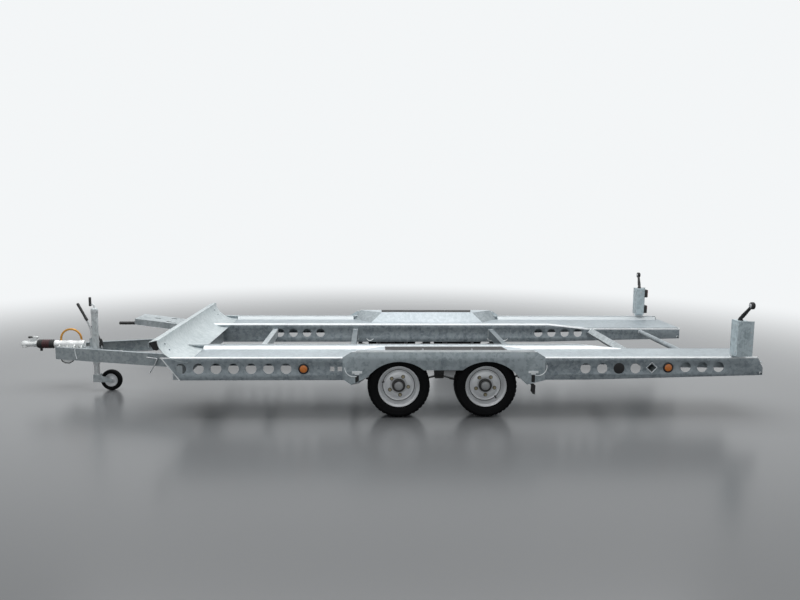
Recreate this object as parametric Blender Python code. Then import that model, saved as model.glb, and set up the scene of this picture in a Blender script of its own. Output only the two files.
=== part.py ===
"""A galvanised twin-axle car transporter trailer.

Front is -X, the left side is -Y, up is +Z, and the floor is z = 0.
The origin is the middle of the outer box, on the floor.
"""
import math

import bmesh
import bpy
from mathutils import Matrix, Vector

# Overall
REAR_X = 3.35
SEAT_GAP = 0.0003
OVERRUN = 0.02

# Tracks: two rails and a deck on each side
OUTER_Y = 1.150
INNER_Y = 0.553
RAIL_TOP = 0.528
RAIL_BOTTOM = 0.335
RAIL_SHEET = 0.004
RAIL_FLANGE = 0.045
DECK_TOP = 0.485
DECK_SHEET = 0.003
KERB_FOOT = 0.045
KERB_GAP = 0.006
KERB_TOP_DROP = 0.003
RAIL_FRONT_TOP_X = -1.700
RAIL_FRONT_LOW_X = -1.550
TAPER_START_X = 1.870
TAPER_END_BOTTOM = 0.372
END_CHAMFER = 0.048
END_CHAMFER_DROP = 0.090
LIP_DROP_START_X = 1.930
LIP_DROP_END_X = 2.330
HOLE_RADIUS = 0.044
HOLE_SEGMENTS = 16
HOLE_PITCH = 0.142
FRONT_HOLE_PITCH = 0.1437
FRONT_HOLE_X = -1.533
FRONT_HOLE_COUNT = 7
HOLE_Z = 0.432
REAR_HOLE_X = 1.832
REAR_HOLE_COUNT = 4
TAIL_HOLE_X = 2.685
TAIL_HOLE_COUNT = 3
TAIL_HOLE_Z = 0.442
INNER_HOLE_X = -0.929
INNER_HOLE_COUNT = 4
INNER_REAR_HOLE_X = 1.818

# Road wheels
AXLE_X = (0.265, 1.003)
TYRE_RADIUS = 0.2645
TYRE_WIDTH = 0.190
WHEEL_Y = 1.024
RIM_RADIUS = 0.175
RIM_WIDTH = 0.150
RIM_WALL = 0.009
HUB_RADIUS = 0.057
HUB_CAP_RADIUS = 0.036
WHEEL_SEGMENTS = 28
# How far below the tread, in shoulders, and how far out, in half widths, the tyre's corners stand
TYRE_CORNER_SHARES = ((1.15, 0.97), (0.30, 0.86), (0.0, 0.62))
TYRE_SHOULDER_SHARE = 0.28
TYRE_BULGE_SHARE = 0.45
# The rim's stepped dish: shares of its radius and of its half width
RIM_DISH_SHARES = ((0.52, 0.25), (0.60, 0.36), (0.74, 0.30), (0.82, 0.80))
RIM_REAR_SHARE = 0.76
RIM_DISC_SHARE = 0.25
HUB_CAP_SHARE = 0.80
HUB_RING_SHARE = 0.42
STUB_SHARE = 0.5

# Wheel arch
ARCH_TOP = 0.588
ARCH_PLATE_TOP = 0.575
ARCH_SHEET = 0.004
ARCH_FRONT_X = -0.205
ARCH_REAR_X = 1.488
ARCH_SHOULDER = 0.075
ARCH_LOBE_BOTTOM = 0.294
ARCH_LOBE_TOP = 0.345
ARCH_MIDDLE_BOTTOM = 0.418
ARCH_OPENING_TOP = 0.490
ARCH_OPENING_RADIUS = 0.331
ARCH_LEG = 0.262
BOX_FOOT_Y = 0.905
BOX_HEAD_Y = 0.975
BOX_FOOT_X = (0.030, 1.270)
BOX_FOOT_OUTER_X = (-0.165, 1.470)
BOX_HEAD_X = (0.150, 1.160)
BOX_HEAD_OUTER_X = (-0.090, 1.395)

# Front stop
STOP_LIP_X = -1.790
STOP_LIP_Z = 0.652
STOP_LIP_RETURN = 0.045
STOP_BEND_X = -1.715
STOP_BEND_Z = 0.668
STOP_FOOT_X = -1.470
STOP_SHEET = 0.004
STOP_ARC_STEPS = 7

# Cross members
FRONT_BEAM_X = -1.560
FRONT_BEAM_WIDTH = 0.080
BEAM_HEIGHT = 0.120
BEAM_LOW = RAIL_BOTTOM + RAIL_SHEET + SEAT_GAP
CROSS_TOP = 0.470
FRONT_CROSS_X = -0.975
CROSS_WIDTH = 0.050
CROSS_HEIGHT = 0.080
AXLE_CROSS_X = (-0.135, 1.305)
REAR_TUBE_X = 2.395
REAR_TUBE_SIDE = 0.062
REAR_TUBE_Z = 0.437
REAR_TUBE_HALF = REAR_TUBE_SIDE * math.sqrt(0.5)
REAR_TUBE_PLAY = 0.0009
RAMP_BAR_X = 2.925
RAMP_BAR_RADIUS = 0.024
RAMP_BAR_Z = 0.440
TUBE_WALL = 0.004

# Running gear
AXLE_RADIUS = 0.030
BACKPLATE_RADIUS = 0.125
BACKPLATE_WIDTH = 0.050
BACKPLATE_Y = 0.862
STUB_RADIUS = 0.023
SPRING_Y = 0.760
SPRING_WIDTH = 0.045
SPRING_LEAF = 0.007
SPRING_LEAF_SHARES = (0.78, 0.52)
SPRING_STEPS = 9
SPRING_HALF_SPAN = 0.350
SPRING_CAMBER = 0.050
SPRING_EYE_Z = TYRE_RADIUS - AXLE_RADIUS - SEAT_GAP + SPRING_CAMBER
SPRING_EYE_RADIUS = 0.016
CARRIER_HEIGHT = 0.060
HANGER_WIDTH = 0.070
HANGER_SHEET = 0.008

# Drawbar
DRAWBAR_TOP = 0.408
DRAWBAR_BOTTOM = 0.292
DRAWBAR_FRONT_X = -2.985
DRAWBAR_FRONT_Y = 0.105
DRAWBAR_REAR_X = FRONT_BEAM_X - FRONT_BEAM_WIDTH / 2 - SEAT_GAP
DRAWBAR_REAR_Y = 0.520
DRAWBAR_SHEET = 0.005
DRAWBAR_FLANGE = 0.040
HEAD_PLATE_LENGTH = 0.335
HEAD_PLATE_SHEET = 0.008
HEAD_PLATE_TOP = 0.374

# Coupling, on the trailer's middle line
HOUSING_OVERHANG = 0.045
HOUSING_FRONT_X = DRAWBAR_FRONT_X - HOUSING_OVERHANG
HOUSING_LENGTH = 0.285
HOUSING_REAR_X = HOUSING_FRONT_X + HOUSING_LENGTH
HOUSING_RADIUS = 0.036
HOUSING_FOOT_WIDTH = 0.130
HOUSING_FOOT_HEIGHT = 0.014
HOUSING_LIFT = 0.010
BELLOWS_LENGTH = 0.160
BELLOWS_FRONT_X = HOUSING_FRONT_X - BELLOWS_LENGTH
BELLOWS_RADIUS = 0.044
BELLOWS_GROOVE = 0.010
BELLOWS_FOLDS = 5
SHAFT_RADIUS = 0.025
HEAD_LENGTH = 0.160
HEAD_FRONT_X = BELLOWS_FRONT_X - HEAD_LENGTH
HEAD_RADIUS = 0.031
HEAD_SOCKET_RADIUS = 0.025
HEAD_SOCKET_SHARE = 1.2
COUPLING_SEGMENTS = 18
HANDLE_RADIUS = 0.011
HOOP_LEAD = 0.005
HOOP_LENGTH = 0.195
HOOP_FRONT_X = DRAWBAR_FRONT_X - HOOP_LEAD
HOOP_REAR_X = HOOP_FRONT_X + HOOP_LENGTH
HOOP_TOP_Z = 0.556
HOOP_RADIUS = 0.008
BRAKE_SETBACK = 0.295
BRAKE_PIVOT_X = DRAWBAR_FRONT_X + BRAKE_SETBACK
BRAKE_Y = 0.085
BRAKE_LEAN = 0.140
BRAKE_TOP_X = BRAKE_PIVOT_X - BRAKE_LEAN
BRAKE_TOP_Z = 0.815
BRAKE_WIDTH = 0.030
BRAKE_SHEET = 0.010
BRAKE_GRIP_RADIUS = 0.014
BRAKE_GRIP_LENGTH = 0.120

# Jockey wheel
JOCKEY_SETBACK = 0.400
JOCKEY_X = DRAWBAR_FRONT_X + JOCKEY_SETBACK
JOCKEY_INBOARD = 0.0769
JOCKEY_TUBE_RADIUS = 0.030
JOCKEY_TUBE_WALL = 0.003
JOCKEY_TUBE_TOP = 0.790
JOCKEY_TUBE_BOTTOM = 0.255
JOCKEY_STEM_TOP = 0.640
JOCKEY_FORK_TOP = 0.155
JOCKEY_TRAIL = 0.135
JOCKEY_RADIUS = 0.100
JOCKEY_TYRE_WIDTH = 0.050
JOCKEY_FORK_SHEET = 0.004
JOCKEY_PIN_RADIUS = 0.008
CRANK_RADIUS = 0.009
CRANK_GRIP_TOP = 0.895
CLAMP_HEIGHT = 0.060
JOCKEY_SEGMENTS = 24
DRAWBAR_SLOPE = (DRAWBAR_REAR_Y - DRAWBAR_FRONT_Y) / (DRAWBAR_REAR_X - DRAWBAR_FRONT_X)
JOCKEY_Y = JOCKEY_INBOARD - DRAWBAR_FRONT_Y - (JOCKEY_X - DRAWBAR_FRONT_X) * DRAWBAR_SLOPE
JOCKEY_STEM_RADIUS = (JOCKEY_TUBE_RADIUS - JOCKEY_TUBE_WALL - SEAT_GAP) * math.cos(math.pi / JOCKEY_SEGMENTS)
# The small wheel's tyre and rim: shares of their radius and of the half width
JOCKEY_RIM_SHARE = 0.62
JOCKEY_BEAD_SHARE = 0.8
JOCKEY_TYRE_SHARES = ((0.88, 1.0), (0.97, 0.7), (1.0, 0.25))
JOCKEY_DISH_SHARES = ((0.4, 1.0), (0.5, 0.3), (0.85, 0.3))
CLAMP_ARM_SHARE = 0.7

# Lamp posts
POST_X = 3.118
POST_Y = 1.170
POST_LENGTH = 0.086
GUARD_REACH = 0.048
POST_WIDTH = 0.120
POST_SHEET = 0.003
POST_TOP = 0.845
POST_BOTTOM = 0.547
HINGE_RADIUS = 0.011
LAMP_DEPTH = 0.045
LAMP_WIDTH = 0.080
LAMP_HEIGHT = 0.270
LAMP_PLATE_SHARE = 0.3
LAMP_BODY_SHARE = 0.33
MARKER_REACH = 0.122
MARKER_RISE = 0.140
MARKER_ARM_RADIUS = 0.014
MARKER_RADIUS = 0.030

# Side lamps
SIDE_LAMP_X = (-0.527, 2.535)
SIDE_LAMP_Z = (0.431, 0.438)
SIDE_LAMP_RADIUS = HOLE_RADIUS - 2 * SEAT_GAP
SIDE_LAMP_DEPTH = 0.020

# Slotted bracket at the front right
BRACKET_FRONT_X = -2.450
BRACKET_REAR_X = FRONT_BEAM_X - FRONT_BEAM_WIDTH / 2 - SEAT_GAP
BRACKET_Y = 0.605
BRACKET_WIDTH = 0.350
BRACKET_HEIGHT = 0.065
BRACKET_FRONT_TOP = 0.572
BRACKET_REAR_TOP = 0.4625
BRACKET_SHEET = 0.005
BRACKET_SLOTS = ((0.190, 0.5), (0.335, 0.2), (0.335, 0.8))
BRACKET_SLOT_LENGTH = 0.060
BRACKET_SLOT_WIDTH = 0.034
BRACKET_GRIP_LENGTH = 0.170
BRACKET_GRIP_RADIUS = 0.013
BRACKET_GRIP_DROP = 0.050

SIDES = (("left", -1), ("right", 1))
AXLES = ("front", "rear")


def clear_scene():
    for item in list(bpy.data.objects):
        bpy.data.objects.remove(item, do_unlink=True)


def principled(name, color, roughness, metallic):
    material = bpy.data.materials.new(name)
    material.use_nodes = True
    shader = material.node_tree.nodes["Principled BSDF"]
    shader.inputs["Base Color"].default_value = (*color, 1.0)
    shader.inputs["Roughness"].default_value = roughness
    shader.inputs["Metallic"].default_value = metallic
    material.diffuse_color = (*color, 1.0)
    return material


def zinc(name):
    return principled(name, (0.52, 0.55, 0.57), 0.45, 0.85)


def black_rubber(name):
    return principled(name, (0.02, 0.02, 0.02), 0.75, 0.0)


def black_paint(name):
    return principled(name, (0.03, 0.03, 0.03), 0.45, 0.2)


def rim_paint(name):
    return principled(name, (0.48, 0.49, 0.50), 0.40, 0.6)


def amber_glass(name):
    return principled(name, (0.85, 0.25, 0.03), 0.20, 0.0)


def red_glass(name):
    return principled(name, (0.55, 0.03, 0.03), 0.20, 0.0)


def yellow_zinc(name):
    return principled(name, (0.72, 0.42, 0.10), 0.35, 0.7)


def finish_mesh(name, bm, origin, smooth):
    bmesh.ops.remove_doubles(bm, verts=bm.verts, dist=SEAT_GAP / 30)
    bmesh.ops.recalc_face_normals(bm, faces=bm.faces)
    bmesh.ops.translate(bm, verts=bm.verts, vec=-Vector(origin))
    mesh = bpy.data.meshes.new(name)
    bm.to_mesh(mesh)
    bm.free()
    if smooth:
        mesh.shade_smooth()
        mesh.set_sharp_from_angle(angle=math.radians(35))
    return mesh


def add_object(name, bm, material=None, origin=(0, 0, 0), parent=None, smooth=False):
    """Put a bmesh, given in world coordinates, into the scene as one named object."""
    item = bpy.data.objects.new(name, finish_mesh(name, bm, origin, smooth))
    item.location = origin
    bpy.context.scene.collection.objects.link(item)
    if material:
        item.data.materials.append(material)
    if parent:
        item.parent = parent
        item.matrix_parent_inverse = Matrix.Translation(-parent.location)
    return item


def add_pivot(name, location):
    """An empty on a joint's axis, which carries the pieces of one moving body."""
    pivot = bpy.data.objects.new(name, None)
    pivot.location = location
    pivot.empty_display_size = HUB_RADIUS
    bpy.context.scene.collection.objects.link(pivot)
    return pivot


def helper(name, bm):
    item = add_object(name, bm)
    item.hide_render = True
    item.display_type = "WIRE"
    return item


def combine(target, bm, operation):
    """Add a shape to a piece, or cut it out, with a Boolean that keeps the piece one body."""
    index = len(target.modifiers)
    tool = helper(f"{target.name}_tool_{index}", bm)
    if target.parent:
        tool.parent = target.parent
        tool.matrix_parent_inverse = target.matrix_parent_inverse
    modifier = target.modifiers.new(f"{operation.lower()}_{index}", "BOOLEAN")
    modifier.operation = operation
    modifier.object = tool
    modifier.solver = "EXACT"
    return modifier


def fuse(target, bm):
    combine(target, bm, "UNION")


def cut(target, bm):
    combine(target, bm, "DIFFERENCE")


def box(low, high):
    bm = bmesh.new()
    corners = [(x, y, z) for x in (low[0], high[0]) for y in (low[1], high[1]) for z in (low[2], high[2])]
    verts = [bm.verts.new(corner) for corner in corners]
    for face in ((0, 1, 3, 2), (4, 6, 7, 5), (0, 4, 5, 1), (2, 3, 7, 6), (0, 2, 6, 4), (1, 5, 7, 3)):
        bm.faces.new([verts[i] for i in face])
    return bm


def place(point, along, axis):
    """Turn an outline's point (a, b) and a place along the axis into x, y, z."""
    a, b = point
    return {"X": (along, a, b), "Y": (a, along, b), "Z": (a, b, along)}[axis]


def prism(outline, axis, start, end):
    """A closed outline in the plane across an axis, extruded from start to end along it."""
    return loft([[place(p, start, axis) for p in outline], [place(p, end, axis) for p in outline]])


def loft(rings):
    """Skin a row of rings with as many points each, and cap both ends."""
    bm = bmesh.new()
    skin(bm, [[bm.verts.new(p) for p in ring] for ring in rings])
    return bm


def skin(bm, rows):
    count = len(rows[0])
    for low, high in zip(rows, rows[1:]):
        for i in range(count):
            j = (i + 1) % count
            bm.faces.new((low[i], low[j], high[j], high[i]))
    bm.faces.new(rows[0][::-1])
    bm.faces.new(rows[-1])


def turned(profile, centre, axis, segments):
    """Turn a closed profile of (radius, place along the axis) pairs about an axis."""
    bm = bmesh.new()
    rings = []
    for step in range(segments):
        angle = 2 * math.pi * step / segments
        ring = []
        for radius, along in profile:
            c, s = radius * math.cos(angle), radius * math.sin(angle)
            local = {"X": (along, c, s), "Y": (c, along, s), "Z": (c, s, along)}[axis]
            ring.append(bm.verts.new(Vector(centre) + Vector(local)))
        rings.append(ring)
    count = len(profile)
    for step, ring in enumerate(rings):
        other = rings[(step + 1) % segments]
        for i in range(count):
            j = (i + 1) % count
            bm.faces.new((ring[i], ring[j], other[j], other[i]))
    return bm


def rod(start, end, radius, segments=12, end_radius=None):
    """A round bar between two points."""
    start, end = Vector(start), Vector(end)
    axis = (end - start).normalized()
    across = axis.orthogonal().normalized()
    other = axis.cross(across)
    rings = []
    for centre, size in ((start, radius), (end, radius if end_radius is None else end_radius)):
        turns = [2 * math.pi * i / segments for i in range(segments)]
        rings.append([centre + size * (math.cos(t) * across + math.sin(t) * other) for t in turns])
    return loft(rings)


def bent_rod(points, radius, segments=10):
    """A round bar along a row of points, mitred at each."""
    points = [Vector(p) for p in points]
    rings = []
    across = None
    for i, point in enumerate(points):
        before = (point - points[max(i - 1, 0)]).normalized()
        after = (points[min(i + 1, len(points) - 1)] - point).normalized()
        axis = (before + after).normalized()
        if across is None:
            across = axis.orthogonal().normalized()
        across = (across - across.dot(axis) * axis).normalized()
        other = axis.cross(across)
        turns = [2 * math.pi * i / segments for i in range(segments)]
        rings.append([point + radius * (math.cos(t) * across + math.sin(t) * other) for t in turns])
    return loft(rings)


def around(radius, segments):
    """The radius of a faceted bore that clears a round bar of the same number of sides."""
    return radius / math.cos(math.pi / segments) + SEAT_GAP


def ball(centre, radius, segments=14, rings=7):
    bm = bmesh.new()
    bmesh.ops.create_uvsphere(bm, u_segments=segments, v_segments=rings, radius=radius)
    bmesh.ops.translate(bm, verts=bm.verts, vec=centre)
    return bm


def arc_points(centre, radius, start_degrees, end_degrees, steps, squash=1.0):
    """Points on an arc about a centre, with its height scaled by squash."""
    points = []
    for i in range(steps + 1):
        angle = math.radians(start_degrees + (end_degrees - start_degrees) * i / steps)
        points.append((centre[0] + radius * math.cos(angle), centre[1] + squash * radius * math.sin(angle)))
    return points


def opening_half_width(height):
    """Half the width of a wheel opening's arc at a height."""
    rise = height - (ARCH_OPENING_TOP - ARCH_OPENING_RADIUS)
    return math.sqrt(ARCH_OPENING_RADIUS ** 2 - rise ** 2)


def opening_arc(centre_x, left, right, steps=8):
    """Points on a wheel opening's arc from a place left of the wheel's centre to one right of it."""
    middle = (centre_x, ARCH_OPENING_TOP - ARCH_OPENING_RADIUS)
    start = math.degrees(math.acos(left / ARCH_OPENING_RADIUS))
    end = math.degrees(math.acos(right / ARCH_OPENING_RADIUS))
    return arc_points(middle, ARCH_OPENING_RADIUS, start, end, steps)


def arch_lower_edge():
    """The arch plate's lower edge, front to rear: lobe, opening, middle web, opening, lobe."""
    half = opening_half_width(ARCH_MIDDLE_BOTTOM)
    front, rear = AXLE_X
    edge = [(front - ARCH_LEG, ARCH_LOBE_BOTTOM)]
    edge += opening_arc(front, -ARCH_LEG, half)
    edge += opening_arc(rear, -half, ARCH_LEG)
    edge += [(rear + ARCH_LEG + ARCH_SHOULDER, ARCH_LOBE_BOTTOM)]
    return edge


def arch_plate_outline():
    front = [(ARCH_FRONT_X, RAIL_TOP), (ARCH_FRONT_X, ARCH_LOBE_TOP)]
    front += [(ARCH_FRONT_X + ARCH_SHOULDER, ARCH_LOBE_BOTTOM)]
    rear = [(ARCH_REAR_X, ARCH_LOBE_BOTTOM + ARCH_SHOULDER / 2), (ARCH_REAR_X, RAIL_TOP)]
    top = [(ARCH_REAR_X - ARCH_SHOULDER, ARCH_PLATE_TOP), (ARCH_FRONT_X + ARCH_SHOULDER, ARCH_PLATE_TOP)]
    return front + arch_lower_edge() + rear + top


def rake_x(z):
    """Where the rails' slanted front edge is at a height."""
    share = (RAIL_TOP - z) / (RAIL_TOP - RAIL_BOTTOM)
    return RAIL_FRONT_TOP_X + share * (RAIL_FRONT_LOW_X - RAIL_FRONT_TOP_X)


def rail_outline(outer):
    """A rail's side view. The inner rail starts behind the front beam, and its lip ends before the rear."""
    lower = [(TAPER_START_X, RAIL_BOTTOM), (REAR_X, TAPER_END_BOTTOM)]
    top = [(RAIL_FRONT_TOP_X, RAIL_TOP)]
    if outer:
        rear = [(REAR_X, RAIL_TOP - END_CHAMFER_DROP), (REAR_X - END_CHAMFER, RAIL_TOP)]
        return [(RAIL_FRONT_LOW_X, RAIL_BOTTOM)] + lower + rear + top
    rear = [(REAR_X, DECK_TOP), (LIP_DROP_END_X, DECK_TOP), (LIP_DROP_START_X, RAIL_TOP)]
    beam_rear = FRONT_BEAM_X + FRONT_BEAM_WIDTH / 2 + SEAT_GAP
    beam_top = BEAM_LOW + BEAM_HEIGHT + SEAT_GAP
    front = [(rake_x(beam_top), beam_top), (beam_rear, beam_top), (beam_rear, RAIL_BOTTOM)]
    return front + lower + rear + top


def hollow_outline(outline):
    """The space above a rail's bottom flange and beside its web, open at the top and both ends."""
    low = RAIL_BOTTOM + RAIL_SHEET
    rise = TAPER_END_BOTTOM + RAIL_SHEET
    front, rear = min(x for x, z in outline) - OVERRUN, REAR_X + OVERRUN
    return [(front, low), (TAPER_START_X, low), (REAR_X, rise), (rear, rise), (rear, RAIL_TOP + OVERRUN),
            (front, RAIL_TOP + OVERRUN)]


def hole_row(first, count, height, pitch=HOLE_PITCH):
    return [(first + i * pitch, height) for i in range(count)]


def hole_outline(x, z, radius):
    turns = [2 * math.pi * i / HOLE_SEGMENTS for i in range(HOLE_SEGMENTS)]
    return [(x + radius * math.cos(t), z + radius * math.sin(t)) for t in turns]


def drill(target, holes, y, radius):
    """Cut a row of round holes through a web with one tool."""
    span = RAIL_SHEET + OVERRUN
    tool = bmesh.new()
    for x, z in holes:
        outline = hole_outline(x, z, radius)
        skin(tool, [[tool.verts.new((px, along, pz)) for px, pz in outline] for along in (y - span, y + span)])
    cut(target, tool)


def add_outer_rail(name, side):
    outline = rail_outline(outer=True)
    rail = add_object(name, prism(outline, "Y", side * OUTER_Y, side * (OUTER_Y - RAIL_FLANGE)), zinc(name))
    within = side * (OUTER_Y - RAIL_SHEET), side * (OUTER_Y - RAIL_FLANGE - OVERRUN)
    cut(rail, prism(hollow_outline(outline), "Y", *within))
    holes = hole_row(FRONT_HOLE_X, FRONT_HOLE_COUNT, HOLE_Z, FRONT_HOLE_PITCH)
    holes += hole_row(REAR_HOLE_X, REAR_HOLE_COUNT, HOLE_Z)
    holes += hole_row(TAIL_HOLE_X, TAIL_HOLE_COUNT, TAIL_HOLE_Z)
    holes += list(zip(SIDE_LAMP_X, SIDE_LAMP_Z))
    drill(rail, holes, side * OUTER_Y, HOLE_RADIUS)
    opening = tube_diamond(REAR_TUBE_HALF + REAR_TUBE_PLAY)
    cut(rail, prism(opening, "Y", side * (OUTER_Y - RAIL_SHEET - OVERRUN), side * (OUTER_Y + OVERRUN)))
    inboard, outboard = side * (OUTER_Y - RAIL_FLANGE - OVERRUN), side * (OUTER_Y + OVERRUN)
    cut(rail, prism(wheel_opening(), "Y", inboard, outboard))
    cut(rail, prism(stop_slot(), "Y", inboard, outboard))
    return rail


def wheel_opening():
    """The part of an outer rail that is cut away around the wheels, wider than the arch plate's."""
    low = ARCH_LOBE_BOTTOM - OVERRUN
    edge = arch_lower_edge()[1:-1]
    left, right = edge[0][0] - RAIL_FLANGE, edge[-1][0] + RAIL_FLANGE
    return [(left, low), (left, edge[0][1])] + edge + [(right, edge[-1][1]), (right, low)]


def add_inner_rail(name, side):
    outline = rail_outline(outer=False)
    rail = add_object(name, prism(outline, "Y", side * INNER_Y, side * (INNER_Y + RAIL_FLANGE)), zinc(name))
    within = side * (INNER_Y + RAIL_SHEET), side * (INNER_Y + RAIL_FLANGE + OVERRUN)
    cut(rail, prism(hollow_outline(outline), "Y", *within))
    holes = hole_row(INNER_HOLE_X, INNER_HOLE_COUNT, HOLE_Z)
    holes += hole_row(INNER_REAR_HOLE_X, INNER_HOLE_COUNT, HOLE_Z)
    drill(rail, holes, side * INNER_Y, HOLE_RADIUS)
    cut(rail, prism(stop_slot(), "Y", side * (INNER_Y - OVERRUN), side * (INNER_Y + RAIL_FLANGE + OVERRUN)))
    return rail


def deck_edges(side):
    low = INNER_Y + RAIL_SHEET + SEAT_GAP
    high = OUTER_Y - RAIL_SHEET - SEAT_GAP
    return side * low, side * high


def box_corner_y():
    """Where the arch box's slanted ends meet the outer plate."""
    return OUTER_Y + SEAT_GAP + ARCH_SHEET / 2


def box_foot_outline(side, inset):
    """The arch box's foot on the deck, in plan, drawn in by a wall."""
    outer = OUTER_Y - RAIL_SHEET - SEAT_GAP
    return [
        (BOX_FOOT_OUTER_X[0] + inset, side * outer),
        (BOX_FOOT_X[0] + inset, side * (BOX_FOOT_Y + inset)),
        (BOX_FOOT_X[1] - inset, side * (BOX_FOOT_Y + inset)),
        (BOX_FOOT_OUTER_X[1] - inset, side * outer),
    ]


def box_head_outline(side, inset):
    outer = OUTER_Y + SEAT_GAP
    return [
        (BOX_HEAD_OUTER_X[0] + inset, side * outer),
        (BOX_HEAD_X[0] + inset, side * (BOX_HEAD_Y + inset)),
        (BOX_HEAD_X[1] - inset, side * (BOX_HEAD_Y + inset)),
        (BOX_HEAD_OUTER_X[1] - inset, side * outer),
    ]


def add_deck(name, side):
    """The flat deck with a sloping kerb along each rail. It ends at the front stop's foot."""
    start, end = deck_edges(side)
    front = STOP_FOOT_X + SEAT_GAP
    outline = [(front, start), (REAR_X - RAIL_SHEET, start), (REAR_X - RAIL_SHEET, end), (front, end)]
    deck = add_object(name, prism(outline, "Z", DECK_TOP - DECK_SHEET, DECK_TOP), zinc(name))
    arch_gap = RAIL_SHEET + SEAT_GAP
    low = DECK_TOP - DECK_SHEET / 2
    add_kerb(deck, side, INNER_Y + KERB_GAP, 1, [(front, 1), (LIP_DROP_START_X, 1), (LIP_DROP_END_X, 0)])
    outer = OUTER_Y - KERB_GAP
    add_kerb(deck, side, outer, -1, [(front, 1), (BOX_FOOT_OUTER_X[0] - arch_gap, 1)])
    add_kerb(deck, side, outer, -1, [(BOX_FOOT_OUTER_X[1] + arch_gap, 1), (REAR_X - END_CHAMFER, 1)])
    foot = box_foot_outline(side, -2 * SEAT_GAP)
    for i in (0, 3):
        foot[i] = (foot[i][0], side * box_corner_y())
    cut(deck, prism(foot, "Z", low - OVERRUN, DECK_TOP + OVERRUN))
    return deck


def add_kerb(deck, side, y, inward, stations):
    """A solid kerb whose top leans on the rail and whose face slopes down to the deck."""
    low = DECK_TOP - DECK_SHEET / 2
    rise = RAIL_TOP - KERB_TOP_DROP - DECK_TOP
    rings = []
    for x, share in stations:
        top = DECK_TOP + max(share * rise, DECK_SHEET / 2)
        crest, foot = y + inward * DECK_SHEET, y + inward * KERB_FOOT
        rings.append([(x, side * y, low), (x, side * y, top), (x, side * crest, top), (x, side * foot, DECK_TOP),
                      (x, side * foot, low)])
    fuse(deck, loft(rings))


def add_wheel_arch(name, side):
    """The outer plate with two wheel openings, and the box that covers the tyres' tops."""
    inner_face, outer_face = OUTER_Y + SEAT_GAP, OUTER_Y + SEAT_GAP + ARCH_SHEET
    arch = add_object(name, prism(arch_plate_outline(), "Y", side * inner_face, side * outer_face), zinc(name))
    foot = [(x, y, DECK_TOP - DECK_SHEET) for x, y in box_foot_outline(side, 0)]
    head = [(x, y, ARCH_TOP) for x, y in box_head_outline(side, 0)]
    for ring in (foot, head):
        for i in (0, 3):
            ring[i] = (ring[i][0], side * box_corner_y(), ring[i][2])
    return arch, foot, head


def add_arch_box(arch, side, foot, head):
    """The box over the tyres: a lofted shell, open below, welded to the plate's inner face."""
    outer = loft([foot, head])
    fuse(arch, outer)
    low = [(x, y, DECK_TOP - OVERRUN) for x, y in box_foot_outline(side, ARCH_SHEET)]
    high = [(x, y, ARCH_TOP - ARCH_SHEET) for x, y in box_head_outline(side, ARCH_SHEET)]
    for ring in (low, high):
        for i in (0, 3):
            ring[i] = (ring[i][0], side * (OUTER_Y + SEAT_GAP), ring[i][2])
    cut(arch, loft([low, high]))
    web_slot = [(ARCH_FRONT_X - OVERRUN, DECK_TOP - OVERRUN), (ARCH_REAR_X + OVERRUN, DECK_TOP - OVERRUN)]
    web_slot += [(x, RAIL_TOP + SEAT_GAP) for x, z in web_slot[::-1]]
    inboard = side * (OUTER_Y - RAIL_SHEET - SEAT_GAP)
    cut(arch, prism(web_slot, "Y", inboard, side * (OUTER_Y + SEAT_GAP)))


def stop_profile(clearance=0):
    """The front stop's upper curve in side view: foot on the deck, sweep up, bend and short nose."""
    foot_z = DECK_TOP + SEAT_GAP + STOP_SHEET
    rise = STOP_BEND_Z - foot_z
    run = STOP_FOOT_X - STOP_BEND_X
    path = [(STOP_FOOT_X + clearance, foot_z)] if clearance else []
    for i in range(STOP_ARC_STEPS + 1):
        angle = math.radians(90 * i / STOP_ARC_STEPS)
        path.append((STOP_FOOT_X - run * math.sin(angle), foot_z + rise * (1 - math.cos(angle))))
    path += [(STOP_LIP_X, STOP_LIP_Z), (STOP_LIP_X, STOP_LIP_Z - STOP_LIP_RETURN)]
    return path


def stop_slot():
    """The stop's section with a gap all round, which the rails' webs leave open."""
    path = stop_profile(SEAT_GAP)
    grown = thickened(path, -SEAT_GAP)[len(path):][::-1]
    return thickened(grown, STOP_SHEET + 2 * SEAT_GAP)


def thickened(path, thickness):
    """A closed outline of one sheet's thickness to the left of a path."""
    offset = []
    for i, point in enumerate(path):
        before = Vector(path[max(i - 1, 0)])
        after = Vector(path[min(i + 1, len(path) - 1)])
        along = (after - before).normalized()
        offset.append((point[0] - along.y * thickness, point[1] + along.x * thickness))
    return list(path) + offset[::-1]


def add_front_stop(name):
    outline = thickened(stop_profile(), STOP_SHEET)
    return add_object(name, prism(outline, "Y", -OUTER_Y, OUTER_Y), zinc(name))


def channel_bar(name, centre_x, width, low, high, reach, material):
    """A box bar across the trailer, from -reach to reach."""
    half = width / 2
    outline = [(centre_x - half, low), (centre_x + half, low), (centre_x + half, high), (centre_x - half, high)]
    return add_object(name, prism(outline, "Y", -reach, reach), material)


def add_cross_members():
    reach = INNER_Y - SEAT_GAP
    channel_bar("front_beam", FRONT_BEAM_X, FRONT_BEAM_WIDTH, BEAM_LOW, BEAM_LOW + BEAM_HEIGHT,
                OUTER_Y - RAIL_SHEET - SEAT_GAP, zinc("front_beam"))
    low = CROSS_TOP - CROSS_HEIGHT
    channel_bar("front_cross_member", FRONT_CROSS_X, CROSS_WIDTH, low, CROSS_TOP, reach,
                zinc("front_cross_member"))
    for end, x in zip(AXLES, AXLE_CROSS_X):
        name = f"{end}_axle_cross_member"
        channel_bar(name, x, CROSS_WIDTH, low, CROSS_TOP, reach, zinc(name))


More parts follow.
